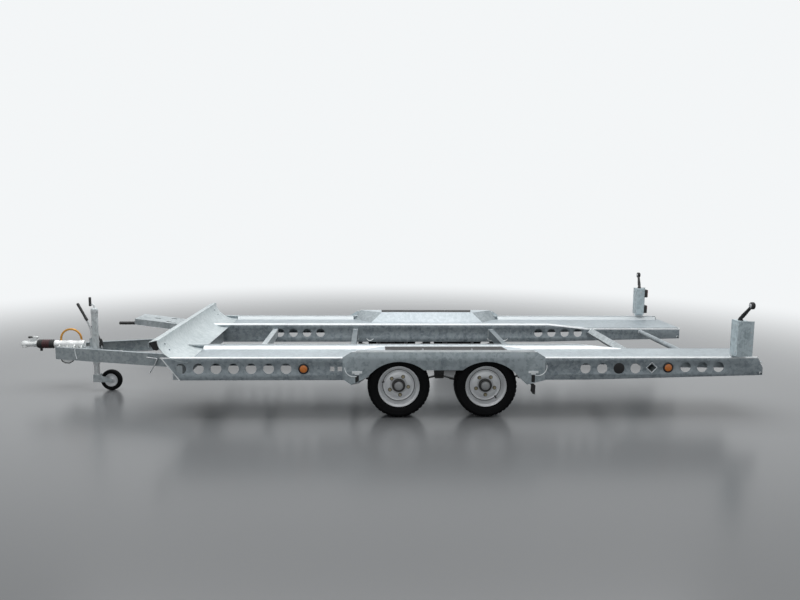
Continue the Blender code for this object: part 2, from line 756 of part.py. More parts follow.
def tube_diamond(half):
    """A square on its corner about the rear cross tube's axis."""
    x, z = REAR_TUBE_X, REAR_TUBE_Z
    return [(x - half, z), (x, z - half), (x + half, z), (x, z + half)]


def add_rear_tube(name):
    """A square tube turned onto its corner, open at both ends."""
    outline = tube_diamond(REAR_TUBE_HALF)
    bore = tube_diamond(REAR_TUBE_HALF - TUBE_WALL / math.sqrt(0.5))
    tube = add_object(name, prism(outline, "Y", -OUTER_Y, OUTER_Y), zinc(name))
    cut(tube, prism(bore, "Y", -OUTER_Y - OVERRUN, OUTER_Y + OVERRUN))
    return tube


def tube_opening(rail, side):
    """Let the rear cross tube through an inner rail."""
    opening = tube_diamond(REAR_TUBE_HALF + REAR_TUBE_PLAY)
    cut(rail, prism(opening, "Y", side * (INNER_Y - OVERRUN), side * (INNER_Y + RAIL_SHEET + OVERRUN)))


def add_ramp_bar(name):
    reach = INNER_Y - SEAT_GAP
    bar = rod((RAMP_BAR_X, -reach, RAMP_BAR_Z), (RAMP_BAR_X, reach, RAMP_BAR_Z), RAMP_BAR_RADIUS, 16)
    return add_object(name, bar, zinc(name), smooth=True)


def tyre_profile():
    """Half-round shoulders and flat sidewalls about the wheel's middle plane."""
    half = TYRE_WIDTH / 2
    shoulder = half * TYRE_SHOULDER_SHARE
    bead = RIM_RADIUS + SEAT_GAP
    outer = [(bead, RIM_WIDTH / 2 - SEAT_GAP), (bead + half * TYRE_BULGE_SHARE, half)]
    outer += [(TYRE_RADIUS - shoulder * low, half * out) for low, out in TYRE_CORNER_SHARES]
    return outer + [(r, -a) for r, a in outer[::-1]]


def add_tyre(name, pivot):
    bm = turned(tyre_profile(), pivot.location, "Y", WHEEL_SEGMENTS)
    return add_object(name, bm, black_rubber(name), origin=tuple(pivot.location), parent=pivot, smooth=True)


def rim_profile(side):
    """From the bore out along the disc's face and back along its rear: one closed section."""
    half = RIM_WIDTH / 2
    face = half * RIM_DISC_SHARE
    cap, ring = half * HUB_CAP_SHARE, half * HUB_RING_SHARE
    bore = around(STUB_RADIUS, WHEEL_SEGMENTS)
    section = [(bore, cap), (HUB_CAP_RADIUS, cap), (HUB_CAP_RADIUS, ring), (HUB_RADIUS, ring), (HUB_RADIUS, face)]
    section += [(RIM_RADIUS * r, half * a) for r, a in RIM_DISH_SHARES]
    section += [(RIM_RADIUS - RIM_WALL, half), (RIM_RADIUS, half), (RIM_RADIUS, -half), (RIM_RADIUS - RIM_WALL, -half)]
    section += [(r, face - RIM_WALL) for r in (RIM_RADIUS * RIM_REAR_SHARE, HUB_RADIUS, bore)]
    return [(r, side * a) for r, a in section]


def add_rim(name, pivot, side):
    bm = turned(rim_profile(side), pivot.location, "Y", WHEEL_SEGMENTS)
    return add_object(name, bm, rim_paint(name), origin=tuple(pivot.location), parent=pivot, smooth=True)


def add_axle(name, x):
    """A tube between the brake backplates, with a stub into each hub."""
    z = TYRE_RADIUS
    inboard = BACKPLATE_Y
    axle = add_object(name, rod((x, -inboard, z), (x, inboard, z), AXLE_RADIUS, 14), black_paint(name))
    for side in (-1, 1):
        start, end = side * (BACKPLATE_Y - BACKPLATE_WIDTH / 2), side * (BACKPLATE_Y + BACKPLATE_WIDTH / 2)
        fuse(axle, rod((x, start, z), (x, end, z), BACKPLATE_RADIUS, 20))
        stub_end = side * (WHEEL_Y + RIM_WIDTH / 2 * STUB_SHARE)
        fuse(axle, rod((x, start, z), (x, stub_end, z), STUB_RADIUS, WHEEL_SEGMENTS))
    return axle


def spring_outline(centre_x):
    """A leaf spring's side view: an arc that sags in the middle, with shorter leaves under the long one."""
    top, under = [], []
    for i in range(2 * SPRING_STEPS + 1):
        share = i / SPRING_STEPS - 1
        x = centre_x + SPRING_HALF_SPAN * share
        z = SPRING_EYE_Z - SPRING_CAMBER * (1 - share ** 2)
        leaves = 1 + sum(1 for reach in SPRING_LEAF_SHARES if abs(share) < reach)
        top.append((x, z))
        under.append((x, z - leaves * SPRING_LEAF))
    return top + under[::-1]


def add_spring_set(name, side):
    """Both leaf springs of a side with their carrier, hangers and equaliser."""
    start, end = side * (SPRING_Y - SPRING_WIDTH / 2), side * (SPRING_Y + SPRING_WIDTH / 2)
    cheek_start = start - side * HANGER_SHEET
    cheek_end = end + side * HANGER_SHEET
    front_eye = AXLE_X[0] - SPRING_HALF_SPAN
    inner_eyes = (AXLE_X[0] + SPRING_HALF_SPAN, AXLE_X[1] - SPRING_HALF_SPAN)
    rear_eye = AXLE_X[1] + SPRING_HALF_SPAN
    top = DECK_TOP - DECK_SHEET - SEAT_GAP
    low = top - CARRIER_HEIGHT
    carrier = [(front_eye - HANGER_WIDTH, low), (rear_eye + HANGER_WIDTH, low)]
    carrier += [(rear_eye + HANGER_WIDTH, top), (front_eye - HANGER_WIDTH, top)]
    springs = add_object(name, prism(carrier, "Y", start, end), black_paint(name))
    half = HANGER_WIDTH / 2
    reach = SPRING_EYE_Z - SPRING_EYE_RADIUS - SPRING_LEAF
    for first, last in ((front_eye, front_eye), (min(inner_eyes), max(inner_eyes)), (rear_eye, rear_eye)):
        hanger = [(first - half, low + half), (first - half / 2, reach)]
        hanger += [(last + half / 2, reach), (last + half, low + half)]
        fuse(springs, prism(hanger, "Y", cheek_start, cheek_end))
    for axle_x in AXLE_X:
        fuse(springs, prism(spring_outline(axle_x), "Y", start, end))
    return springs


def slanted_rail(front, rear, side):
    """A channel along a slanted line in plan: its web stands on the line, its flanges turn inwards."""
    (x0, y0), (x1, y1) = front, rear
    sheet, flange = DRAWBAR_SHEET, DRAWBAR_FLANGE
    section = [
        (0, DRAWBAR_BOTTOM), (flange, DRAWBAR_BOTTOM), (flange, DRAWBAR_BOTTOM + sheet),
        (sheet, DRAWBAR_BOTTOM + sheet), (sheet, DRAWBAR_TOP - sheet), (flange, DRAWBAR_TOP - sheet),
        (flange, DRAWBAR_TOP), (0, DRAWBAR_TOP),
    ]
    rings = []
    for x, y in ((x0, y0), (x1, y1)):
        rings.append([(x, side * (y - inward), z) for inward, z in section])
    return loft(rings)


def add_drawbar_rail(name, side):
    front = (DRAWBAR_FRONT_X, DRAWBAR_FRONT_Y)
    rear = (DRAWBAR_REAR_X, DRAWBAR_REAR_Y)
    return add_object(name, slanted_rail(front, rear, side), zinc(name))


def drawbar_half_width(x):
    return DRAWBAR_FRONT_Y + (x - DRAWBAR_FRONT_X) * DRAWBAR_SLOPE


def add_head_plate(name):
    """The plate between the drawbar rails that carries the overrun housing."""
    rear_x = DRAWBAR_FRONT_X + HEAD_PLATE_LENGTH
    seat = DRAWBAR_SHEET + SEAT_GAP
    front_y, rear_y = drawbar_half_width(DRAWBAR_FRONT_X) - seat, drawbar_half_width(rear_x) - seat
    outline = [(DRAWBAR_FRONT_X, -front_y), (rear_x, -rear_y), (rear_x, rear_y), (DRAWBAR_FRONT_X, front_y)]
    low, high = HEAD_PLATE_TOP - HEAD_PLATE_SHEET, HEAD_PLATE_TOP
    return add_object(name, prism(outline, "Z", low, high), zinc(name))


def housing_base():
    return HEAD_PLATE_TOP + SEAT_GAP


def coupling_axis_z():
    return housing_base() + HOUSING_LIFT + HOUSING_RADIUS


def add_housing(name):
    """The cast overrun housing: a barrel on a flat foot."""
    z = coupling_axis_z()
    base = housing_base()
    barrel = rod((HOUSING_FRONT_X, 0, z), (HOUSING_REAR_X, 0, z), HOUSING_RADIUS, COUPLING_SEGMENTS)
    housing = add_object(name, barrel, zinc(name))
    half = HOUSING_FOOT_WIDTH / 2
    rear = HOUSING_REAR_X - HOUSING_FOOT_HEIGHT
    fuse(housing, box((DRAWBAR_FRONT_X, -half, base), (rear, half, base + HOUSING_FOOT_HEIGHT)))
    return housing


def add_bellows(name):
    """Folded rubber between the housing and the coupling head, around the shaft."""
    length = HOUSING_FRONT_X - SEAT_GAP - BELLOWS_FRONT_X
    step = length / (2 * BELLOWS_FOLDS)
    bore = around(SHAFT_RADIUS, COUPLING_SEGMENTS)
    profile = [(bore, 0), (bore, length)]
    for i in range(2 * BELLOWS_FOLDS + 1):
        radius = BELLOWS_RADIUS - (BELLOWS_GROOVE if i % 2 == 0 else 0)
        profile.append((radius, length - i * step))
    bm = turned(profile, (BELLOWS_FRONT_X, 0, coupling_axis_z()), "X", COUPLING_SEGMENTS)
    return add_object(name, bm, black_rubber(name), smooth=True)


def add_coupling_head(name):
    """The head with its ball socket below and its shaft back to the housing."""
    z = coupling_axis_z()
    length = BELLOWS_FRONT_X - SEAT_GAP - HEAD_FRONT_X
    shaft_end = HOUSING_FRONT_X - SEAT_GAP - HEAD_FRONT_X
    profile = [(HEAD_RADIUS + a, b) for b, a in arc_points((HEAD_RADIUS, -HEAD_RADIUS), HEAD_RADIUS, 180, 90, 5)]
    profile += [(HEAD_RADIUS, length), (SHAFT_RADIUS, length), (SHAFT_RADIUS, shaft_end), (0, shaft_end)]
    bm = turned(profile, (HEAD_FRONT_X, 0, z), "X", COUPLING_SEGMENTS)
    head = add_object(name, bm, zinc(name), smooth=True)
    x = HEAD_FRONT_X + HEAD_RADIUS * HEAD_SOCKET_SHARE
    cut(head, rod((x, 0, z - HEAD_RADIUS - OVERRUN), (x, 0, z), HEAD_SOCKET_RADIUS, 16))
    return head


def add_coupling_handle(name):
    z = coupling_axis_z()
    foot = (HEAD_FRONT_X + 3 * HEAD_RADIUS, 0, z + HEAD_RADIUS + SEAT_GAP)
    half = HANDLE_RADIUS
    handle = box((foot[0] - half, -half, foot[2]), (foot[0] + 2 * half, half, z + HEAD_RADIUS + 3 * half))
    item = add_object(name, handle, zinc(name))
    grip_z = z + HEAD_RADIUS + 3 * half
    fuse(item, rod((foot[0] - 4 * half, 0, grip_z), (foot[0] + 4 * half, 0, grip_z), HANDLE_RADIUS, 12))
    return item


def add_hoop(name):
    """The yellow hoop over the housing, with both feet on the foot plate."""
    middle = (HOOP_FRONT_X + HOOP_REAR_X) / 2
    radius = (HOOP_REAR_X - HOOP_FRONT_X) / 2
    foot_z = housing_base() + HOUSING_FOOT_HEIGHT + SEAT_GAP
    y = HOUSING_FOOT_WIDTH / 2 - HOOP_RADIUS * 2
    spring_z = HOOP_TOP_Z - radius
    points = [(HOOP_REAR_X, y, foot_z)]
    points += [(x, y, z) for x, z in arc_points((middle, spring_z), radius, 0, 180, 10)]
    points += [(HOOP_FRONT_X, y, foot_z)]
    return add_object(name, bent_rod(points, HOOP_RADIUS), yellow_zinc(name), smooth=True)


def add_brake_lever(name):
    """A flat lever on the head plate, ending in a round grip."""
    base = housing_base()
    half = BRAKE_WIDTH / 2
    outline = [(BRAKE_PIVOT_X - half, base), (BRAKE_PIVOT_X + half, base)]
    outline += [(BRAKE_TOP_X + half, BRAKE_TOP_Z - BRAKE_GRIP_LENGTH)]
    outline += [(BRAKE_TOP_X - half / 2, BRAKE_TOP_Z - BRAKE_GRIP_LENGTH)]
    thick = BRAKE_SHEET / 2
    lever = add_object(name, prism(outline, "Y", BRAKE_Y - thick, BRAKE_Y + thick), zinc(name))
    foot = (BRAKE_TOP_X + half / 2, BRAKE_Y, BRAKE_TOP_Z - BRAKE_GRIP_LENGTH - OVERRUN)
    fuse(lever, rod(foot, (BRAKE_TOP_X, BRAKE_Y, BRAKE_TOP_Z), BRAKE_GRIP_RADIUS, 12))
    return lever


def add_jockey_clamp(name):
    """The ring that grips the outer tube, with an arm to the left drawbar rail's web."""
    low, high = DRAWBAR_TOP - CLAMP_HEIGHT, DRAWBAR_TOP - DRAWBAR_SHEET - SEAT_GAP
    inner = around(JOCKEY_TUBE_RADIUS, JOCKEY_SEGMENTS)
    outer = inner + JOCKEY_TUBE_WALL * 3
    profile = [(inner, low), (outer, low), (outer, high), (inner, high)]
    clamp = add_object(name, turned(profile, (JOCKEY_X, JOCKEY_Y, 0), "Z", JOCKEY_SEGMENTS), zinc(name))
    front, rear = JOCKEY_X - outer * CLAMP_ARM_SHARE, JOCKEY_X + outer * CLAMP_ARM_SHARE
    near = JOCKEY_Y - inner - JOCKEY_TUBE_WALL
    seat = DRAWBAR_SHEET + SEAT_GAP
    arm = [(front, near), (front, seat - drawbar_half_width(front))]
    arm += [(rear, seat - drawbar_half_width(rear)), (rear, near)]
    fuse(clamp, prism(arm, "Z", low + JOCKEY_TUBE_WALL, high - JOCKEY_TUBE_WALL))
    return clamp


def add_jockey_tube(name):
    """The outer tube with its cap and its crank."""
    outer, inner = JOCKEY_TUBE_RADIUS, JOCKEY_TUBE_RADIUS - JOCKEY_TUBE_WALL
    low, high = JOCKEY_TUBE_BOTTOM, JOCKEY_TUBE_TOP
    tube = add_object(name, rod((JOCKEY_X, JOCKEY_Y, low), (JOCKEY_X, JOCKEY_Y, high), outer, JOCKEY_SEGMENTS),
                      zinc(name))
    cut(tube, rod((JOCKEY_X, JOCKEY_Y, low - OVERRUN), (JOCKEY_X, JOCKEY_Y, high - 2 * outer), inner,
                  JOCKEY_SEGMENTS))
    lift = CRANK_RADIUS * 2
    points = [
        (JOCKEY_X, JOCKEY_Y, high - OVERRUN), (JOCKEY_X, JOCKEY_Y, high + lift),
        (JOCKEY_X - lift, JOCKEY_Y, high + 2 * lift), (JOCKEY_X - 2 * lift, JOCKEY_Y, high + 2 * lift),
        (JOCKEY_X - 2 * lift, JOCKEY_Y, CRANK_GRIP_TOP),
    ]
    fuse(tube, bent_rod(points, CRANK_RADIUS))
    return tube


def add_jockey_stem(name, pivot):
    stem = rod((JOCKEY_X, JOCKEY_Y, JOCKEY_FORK_TOP + SEAT_GAP), (JOCKEY_X, JOCKEY_Y, JOCKEY_STEM_TOP),
               JOCKEY_STEM_RADIUS, JOCKEY_SEGMENTS)
    return add_object(name, stem, zinc(name), origin=tuple(pivot.location), parent=pivot)


def add_jockey_fork(name, pivot):
    """A yoke that trails behind the stem and carries the wheel's pin."""
    half = JOCKEY_TYRE_WIDTH / 2 + 2 * JOCKEY_FORK_SHEET
    outer = half + JOCKEY_FORK_SHEET
    top = JOCKEY_FORK_TOP
    low = top - JOCKEY_FORK_SHEET
    wheel_x = JOCKEY_X + JOCKEY_TRAIL
    foot = JOCKEY_RADIUS - JOCKEY_PIN_RADIUS * 2
    front = JOCKEY_X - JOCKEY_STEM_RADIUS
    cheek = [(front, top), (front, foot), (wheel_x + 2 * JOCKEY_PIN_RADIUS, foot)]
    cheek += [(wheel_x + 2 * JOCKEY_PIN_RADIUS, JOCKEY_RADIUS + 2 * JOCKEY_PIN_RADIUS)]
    cheek += [(JOCKEY_X + JOCKEY_STEM_RADIUS, top)]
    fork = add_object(name, prism(cheek, "Y", JOCKEY_Y - outer, JOCKEY_Y + outer), zinc(name),
                      origin=tuple(pivot.location), parent=pivot)
    hollow_front = JOCKEY_X + JOCKEY_TRAIL - JOCKEY_RADIUS - JOCKEY_FORK_SHEET * 2
    cut(fork, box((hollow_front, JOCKEY_Y - half, foot - OVERRUN),
                  (wheel_x + JOCKEY_RADIUS, JOCKEY_Y + half, top + OVERRUN)))
    pin = rod((wheel_x, JOCKEY_Y - outer - JOCKEY_PIN_RADIUS, JOCKEY_RADIUS),
              (wheel_x, JOCKEY_Y + outer + JOCKEY_PIN_RADIUS, JOCKEY_RADIUS), JOCKEY_PIN_RADIUS, 12)
    fuse(fork, pin)
    return fork


def add_jockey_wheel(pivot):
    centre = tuple(pivot.location)
    half = JOCKEY_TYRE_WIDTH / 2
    rim_radius = JOCKEY_RADIUS * JOCKEY_RIM_SHARE
    bead = half * JOCKEY_BEAD_SHARE
    tyre = [(rim_radius, bead)] + [(JOCKEY_RADIUS * r, half * a) for r, a in JOCKEY_TYRE_SHARES]
    tyre += [(r, -a) for r, a in tyre[::-1]]
    add_object("jockey_tyre", turned(tyre, centre, "Y", JOCKEY_SEGMENTS), black_rubber("jockey_tyre"), origin=centre,
               parent=pivot, smooth=True)
    bore = around(JOCKEY_PIN_RADIUS, 12)
    rim = [(bore, half)] + [(rim_radius * r, half * a) for r, a in JOCKEY_DISH_SHARES]
    rim += [(rim_radius - SEAT_GAP, bead)]
    rim += [(r, -a) for r, a in rim[::-1]]
    add_object("jockey_rim", turned(rim, centre, "Y", JOCKEY_SEGMENTS), rim_paint("jockey_rim"), origin=centre,
               parent=pivot, smooth=True)


def post_middle_y(side):
    return side * POST_Y


def hinge_location(side):
    return (POST_X, side * (OUTER_Y - RAIL_SHEET / 2), RAIL_TOP + HINGE_RADIUS + SEAT_GAP)


def add_lamp_post(name, side, pivot):
    """A folded channel, open to the front, on a hinge barrel."""
    half_length, half_width = POST_LENGTH / 2, POST_WIDTH / 2
    y = post_middle_y(side)
    post = add_object(name, box((POST_X - half_length, y - half_width, POST_BOTTOM),
                                (POST_X + half_length, y + half_width, POST_TOP)), zinc(name),
                      origin=tuple(pivot.location), parent=pivot)
    inner = half_width - POST_SHEET
    cut(post, box((POST_X - half_length - OVERRUN, y - inner, POST_BOTTOM - OVERRUN),
                  (POST_X + half_length - POST_SHEET, y + inner, POST_TOP - POST_SHEET)))
    guard_y = y + side * inner
    guard_end = POST_X + half_length + GUARD_REACH
    fuse(post, box((POST_X + half_length - POST_SHEET, min(guard_y, y + side * half_width), POST_BOTTOM),
                   (guard_end, max(guard_y, y + side * half_width), POST_TOP)))
    hinge = hinge_location(side)
    fuse(post, box((POST_X - half_length, y - half_width, POST_BOTTOM),
                   (POST_X + half_length, y + half_width, POST_BOTTOM + POST_SHEET)))
    fuse(post, rod((POST_X - half_length, hinge[1], hinge[2]), (POST_X + half_length, hinge[1], hinge[2]),
                   HINGE_RADIUS, 12))
    return post


def add_rear_lamp(name, side, pivot):
    """A mounting plate with one lamp body at its foot and one at its top."""
    y = side * (POST_Y - (POST_WIDTH - LAMP_WIDTH) / 4)
    start = POST_X + POST_LENGTH / 2 + SEAT_GAP
    face, end = start + LAMP_DEPTH * LAMP_PLATE_SHARE, start + LAMP_DEPTH
    middle_z = (POST_TOP + POST_BOTTOM) / 2
    low, high = middle_z - LAMP_HEIGHT / 2, middle_z + LAMP_HEIGHT / 2
    body = LAMP_HEIGHT * LAMP_BODY_SHARE
    outline = [(start, low), (end, low), (end, low + body), (face, low + body)]
    outline += [(face, high - body), (end, high - body), (end, high), (start, high)]
    lamp = prism(outline, "Y", y - LAMP_WIDTH / 2, y + LAMP_WIDTH / 2)
    return add_object(name, lamp, red_glass(name), origin=tuple(pivot.location), parent=pivot)


def add_marker_lamp(name, side, pivot):
    """A lamp on a rubber arm that leans out from the post's top."""
    y = post_middle_y(side)
    foot = (POST_X, y, POST_TOP + SEAT_GAP)
    head = (POST_X + MARKER_ARM_RADIUS * 2, y + side * MARKER_REACH, POST_TOP + MARKER_RISE)
    rise = (POST_X, y, POST_TOP + MARKER_ARM_RADIUS)
    marker = add_object(name, bent_rod([foot, rise, head], MARKER_ARM_RADIUS), black_rubber(name),
                        origin=tuple(pivot.location), parent=pivot)
    fuse(marker, ball(head, MARKER_RADIUS, 16, 8))
    return marker


def add_side_lamp(name, side, x, z):
    depth = SIDE_LAMP_DEPTH
    inner, outer = OUTER_Y - RAIL_SHEET - depth / 2, OUTER_Y + depth / 2
    lamp = prism(hole_outline(x, z, SIDE_LAMP_RADIUS), "Y", side * inner, side * outer)
    return add_object(name, lamp, amber_glass(name))


def bracket_top(x):
    """The height of the bracket's top, which falls from its front to the front beam."""
    share = (x - BRACKET_FRONT_X) / (BRACKET_REAR_X - BRACKET_FRONT_X)
    return BRACKET_FRONT_TOP + share * (BRACKET_REAR_TOP - BRACKET_FRONT_TOP)


def bracket_section(inset, depth):
    """The bracket's side view, drawn in by a wall and deep enough below its top."""
    front, rear = BRACKET_FRONT_X + inset, BRACKET_REAR_X - inset
    top = [(rear, bracket_top(rear) - inset), (front, bracket_top(front) - inset)]
    return [(front, top[1][1] + inset - depth), (rear, top[0][1] + inset - depth)] + top


def add_bracket(name):
    """The slotted carrier in front of the front beam, open below, with its black grip."""
    near, far = BRACKET_Y, BRACKET_Y + BRACKET_WIDTH
    bracket = add_object(name, prism(bracket_section(0, BRACKET_HEIGHT), "Y", near, far), zinc(name))
    hollow = bracket_section(BRACKET_SHEET, BRACKET_HEIGHT + OVERRUN)
    cut(bracket, prism(hollow, "Y", near + BRACKET_SHEET, far - BRACKET_SHEET))
    for reach, share in BRACKET_SLOTS:
        x, y = BRACKET_FRONT_X + reach, near + share * BRACKET_WIDTH
        half_length, half_width = BRACKET_SLOT_LENGTH / 2, BRACKET_SLOT_WIDTH / 2
        cut(bracket, box((x - half_length, y - half_width, bracket_top(x) - BRACKET_SHEET - OVERRUN),
                         (x + half_length, y + half_width, bracket_top(x) + OVERRUN)))
    z = BRACKET_FRONT_TOP - BRACKET_GRIP_DROP
    grip_y = near + 2 * BRACKET_GRIP_RADIUS
    fuse(bracket, rod((BRACKET_FRONT_X - BRACKET_GRIP_LENGTH, grip_y, z),
                      (BRACKET_FRONT_X + BRACKET_SHEET / 2, grip_y, z), BRACKET_GRIP_RADIUS, 12))
    return bracket


def build_tracks():
    for label, side in SIDES:
        add_outer_rail(f"{label}_outer_rail", side)
        rail = add_inner_rail(f"{label}_inner_rail", side)
        tube_opening(rail, side)
        add_deck(f"{label}_deck", side)
        arch, foot, head = add_wheel_arch(f"{label}_wheel_arch", side)
        add_arch_box(arch, side, foot, head)
        for end, x, z in zip(AXLES, SIDE_LAMP_X, SIDE_LAMP_Z):
            add_side_lamp(f"{label}_{end}_side_lamp", side, x, z)


def build_frame():
    add_front_stop("front_stop")
    add_cross_members()
    add_rear_tube("rear_cross_tube")
    add_ramp_bar("ramp_bar")


def build_running_gear():
    for end, x in zip(AXLES, AXLE_X):
        add_axle(f"{end}_axle", x)
        for label, side in SIDES:
            pivot = add_pivot(f"{label}_{end}_wheel_pivot", (x, side * WHEEL_Y, TYRE_RADIUS))
            add_tyre(f"{label}_{end}_tyre", pivot)
            add_rim(f"{label}_{end}_rim", pivot, side)
    for label, side in SIDES:
        add_spring_set(f"{label}_springs", side)


def build_drawbar():
    for label, side in SIDES:
        add_drawbar_rail(f"drawbar_{label}_rail", side)
    add_head_plate("drawbar_head_plate")
    add_housing("overrun_housing")
    add_bellows("coupling_bellows")
    add_coupling_head("coupling_head")
    add_coupling_handle("coupling_handle")
    add_hoop("yellow_hoop")
    add_brake_lever("brake_lever")
    add_bracket("front_bracket")


def build_jockey_wheel():
    add_jockey_clamp("jockey_clamp")
    add_jockey_tube("jockey_tube")
    slide = add_pivot("jockey_slide_pivot", (JOCKEY_X, JOCKEY_Y, JOCKEY_FORK_TOP))
    add_jockey_stem("jockey_stem", slide)
    swivel = add_pivot("jockey_swivel_pivot", (JOCKEY_X, JOCKEY_Y, JOCKEY_FORK_TOP))
    add_jockey_fork("jockey_fork", swivel)
    spin = add_pivot("jockey_wheel_pivot", (JOCKEY_X + JOCKEY_TRAIL, JOCKEY_Y, JOCKEY_RADIUS))
    add_jockey_wheel(spin)


def build_lamp_posts():
    for label, side in SIDES:
        pivot = add_pivot(f"{label}_lamp_post_pivot", hinge_location(side))
        add_lamp_post(f"{label}_lamp_post", side, pivot)
        add_rear_lamp(f"{label}_rear_lamp", side, pivot)
        add_marker_lamp(f"{label}_marker_lamp", side, pivot)


clear_scene()
build_tracks()
build_frame()
build_running_gear()
build_drawbar()
build_jockey_wheel()
build_lamp_posts()
bpy.context.view_layer.update()
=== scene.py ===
"""The looks of a galvanised twin-axle car transporter trailer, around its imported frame.

Front is -X, the left side is -Y, up is +Z, the floor is z = 0, and lengths are in metres.
"""
import math

import bmesh
import bpy
from mathutils import Matrix, Vector


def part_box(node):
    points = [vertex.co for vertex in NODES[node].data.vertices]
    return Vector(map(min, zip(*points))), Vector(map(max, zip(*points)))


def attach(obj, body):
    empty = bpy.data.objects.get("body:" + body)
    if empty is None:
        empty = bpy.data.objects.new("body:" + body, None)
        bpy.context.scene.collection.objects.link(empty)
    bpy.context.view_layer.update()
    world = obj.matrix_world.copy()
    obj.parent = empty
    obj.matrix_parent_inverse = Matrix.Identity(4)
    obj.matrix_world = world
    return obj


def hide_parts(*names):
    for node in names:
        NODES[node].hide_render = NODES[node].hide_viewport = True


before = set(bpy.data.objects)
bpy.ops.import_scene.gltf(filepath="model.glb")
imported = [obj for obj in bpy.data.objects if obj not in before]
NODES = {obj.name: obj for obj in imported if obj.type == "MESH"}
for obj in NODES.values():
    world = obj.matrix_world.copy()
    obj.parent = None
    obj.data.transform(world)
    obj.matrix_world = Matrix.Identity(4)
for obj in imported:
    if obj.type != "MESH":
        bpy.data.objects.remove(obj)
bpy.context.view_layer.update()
SIDES = (("left", -1), ("right", 1))

# Tracks
OUTER_Y = 1.15
INNER_Y = 0.553
RAIL_TOP = 0.528
RAIL_BOTTOM = 0.335
SHEET = 0.004
FLANGE = 0.045
DECK_TOP = 0.485
RAKE_TOP_X = -1.7
RAKE_FOOT_X = -1.55
TAPER_X = 1.87
TAPER_Z = 0.372
REAR_X = 3.35
TAIL_TOP = 0.438
HOLE_RADIUS = 0.044
HOLE_PITCH = 0.142
HOLE_Z = 0.432
TUBE_X = 2.395
TUBE_Z = 0.437
TUBE_HALF = 0.0447

# Wheel arches
PLATE_Y = 1.1503
PLATE_OUT_Y = 1.1543
ARCH_TOP = 0.588
OPENING_TOP = 0.49
OPENING_RADIUS = 0.331
OPENING_LEG = 0.262
MIDDLE_BOTTOM = 0.418
LOBE_BOTTOM = 0.294
TIE_SLOTS = (-0.085, 1.39)

# Running gear
AXLE_X = (0.265, 1.003)
TYRE_RADIUS = 0.2645
WHEEL_Y = 1.024
RIM_RADIUS = 0.175
NUT_CIRCLE = 0.083
SPRING_Y = 0.76
SPRING_HALF = 0.0225
SPRING_REACH = 0.35
SPRING_SAG = 0.05
LEAF = 0.0062
LEAF_PITCH = 0.0068
EYE_Z = 0.2842

# Drawbar, coupling and jockey wheel
DRAWBAR_TOP = 0.408
DRAWBAR_BOTTOM = 0.292
DRAWBAR_FRONT_X = -2.985
DRAWBAR_SLOPE = 0.29965
PLATE_TOP = 0.374
PLATE_REAR_X = -2.655
ROD_Z = 0.305
COUPLING_Z = 0.4203
BRAKE_Y = 0.085
JOCKEY_X = -2.585
JOCKEY_Y = -0.148
JOCKEY_AXLE = (-2.45, JOCKEY_Y, 0.1)

# Lamp posts
POST_X = 3.118
POST_Y = 1.17
POST_TOP = 0.845
SIDE_LAMPS = {"front": (-0.527, 0.431), "rear": (2.535, 0.438)}

# Pressed spots of the track decks, and the painted highlight on their raised kerbs, lighter still on the
# inner kerbs
SPOTS_PER_METRE = 4.7
SPOT_RADIUS = 0.045
KERB_LIFT = 0.0015
KERB_SPLIT_Y = 0.8
KERB_HIGHLIGHT_TONE = (0.47, 0.505, 0.52)
INNER_KERB_HIGHLIGHT_TONE = (0.82, 0.86, 0.875)

# Surroundings
FLOOR_TONE = (0.18, 0.187, 0.192)
FLOOR_HALF = 60.0
FADE_START, FADE_END = 4.0, 9.5
BACKDROP = (0.9, 0.92, 0.93)
SKY_TONE = (0.93, 0.96, 1.0)
SKY_STRENGTH = 0.21
LAMPS = (
    ("overhead", (0.3, 0.2, 4.4), (0.3, 0.0, 0.4), (8.5, 5.0), 330.0),
    ("camera_side", (-1.5, -7.5, 4.5), (0.0, 0.0, 0.4), (6.0, 2.6), 50.0),
)
CAMERA_PLACE = (0.0304, -7.1233, 1.7967)
CAMERA_PITCH, CAMERA_YAW, CAMERA_ROLL = 0.1312, 0.03965, 0.00733
CAMERA_LENS = 33.04


class Socket:
    """A shader value that takes part in Python arithmetic."""

    def __init__(self, nodes, socket):
        self.nodes = nodes
        self.socket = socket

    def _math(self, operation, first, second):
        node = self.nodes.node("ShaderNodeMath", {"operation": operation}, {0: first, 1: second})
        return Socket(self.nodes, node.outputs[0])

    def __add__(self, other):
        return self._math("ADD", self, other)

    def __radd__(self, other):
        return self._math("ADD", other, self)

    def __sub__(self, other):
        return self._math("SUBTRACT", self, other)

    def __mul__(self, other):
        return self._math("MULTIPLY", self, other)

    def __truediv__(self, other):
        return self._math("DIVIDE", self, other)

    def __gt__(self, other):
        return self._math("GREATER_THAN", self, other)

    def __lt__(self, other):
        return self._math("LESS_THAN", self, other)


class Nodes:
    """The nodes of one material or world."""

    def __init__(self, owner):
        owner.use_nodes = True
        self.tree = owner.node_tree

    def put(self, target, value):
        if isinstance(value, Socket):
            self.tree.links.new(value.socket, target)
        elif isinstance(value, bpy.types.NodeSocket):
            self.tree.links.new(value, target)
        else:
            target.default_value = value

    def node(self, kind, settings=None, values=None):
        """A node of that type, with its settings first and then its sockets' values or links."""
        node = self.tree.nodes.new(kind)
        for key, value in (settings or {}).items():
            if key == "stops":
                ramp = node.color_ramp
                while len(ramp.elements) < len(value):
                    ramp.elements.new(0.5)
                for element, (place, color) in zip(ramp.elements, value):
                    element.position = place
                    element.color = (*color, 1.0)
            else:
                setattr(node, key, value)
        for key, value in (values or {}).items():
            self.put(node.inputs[key], value)
        return node


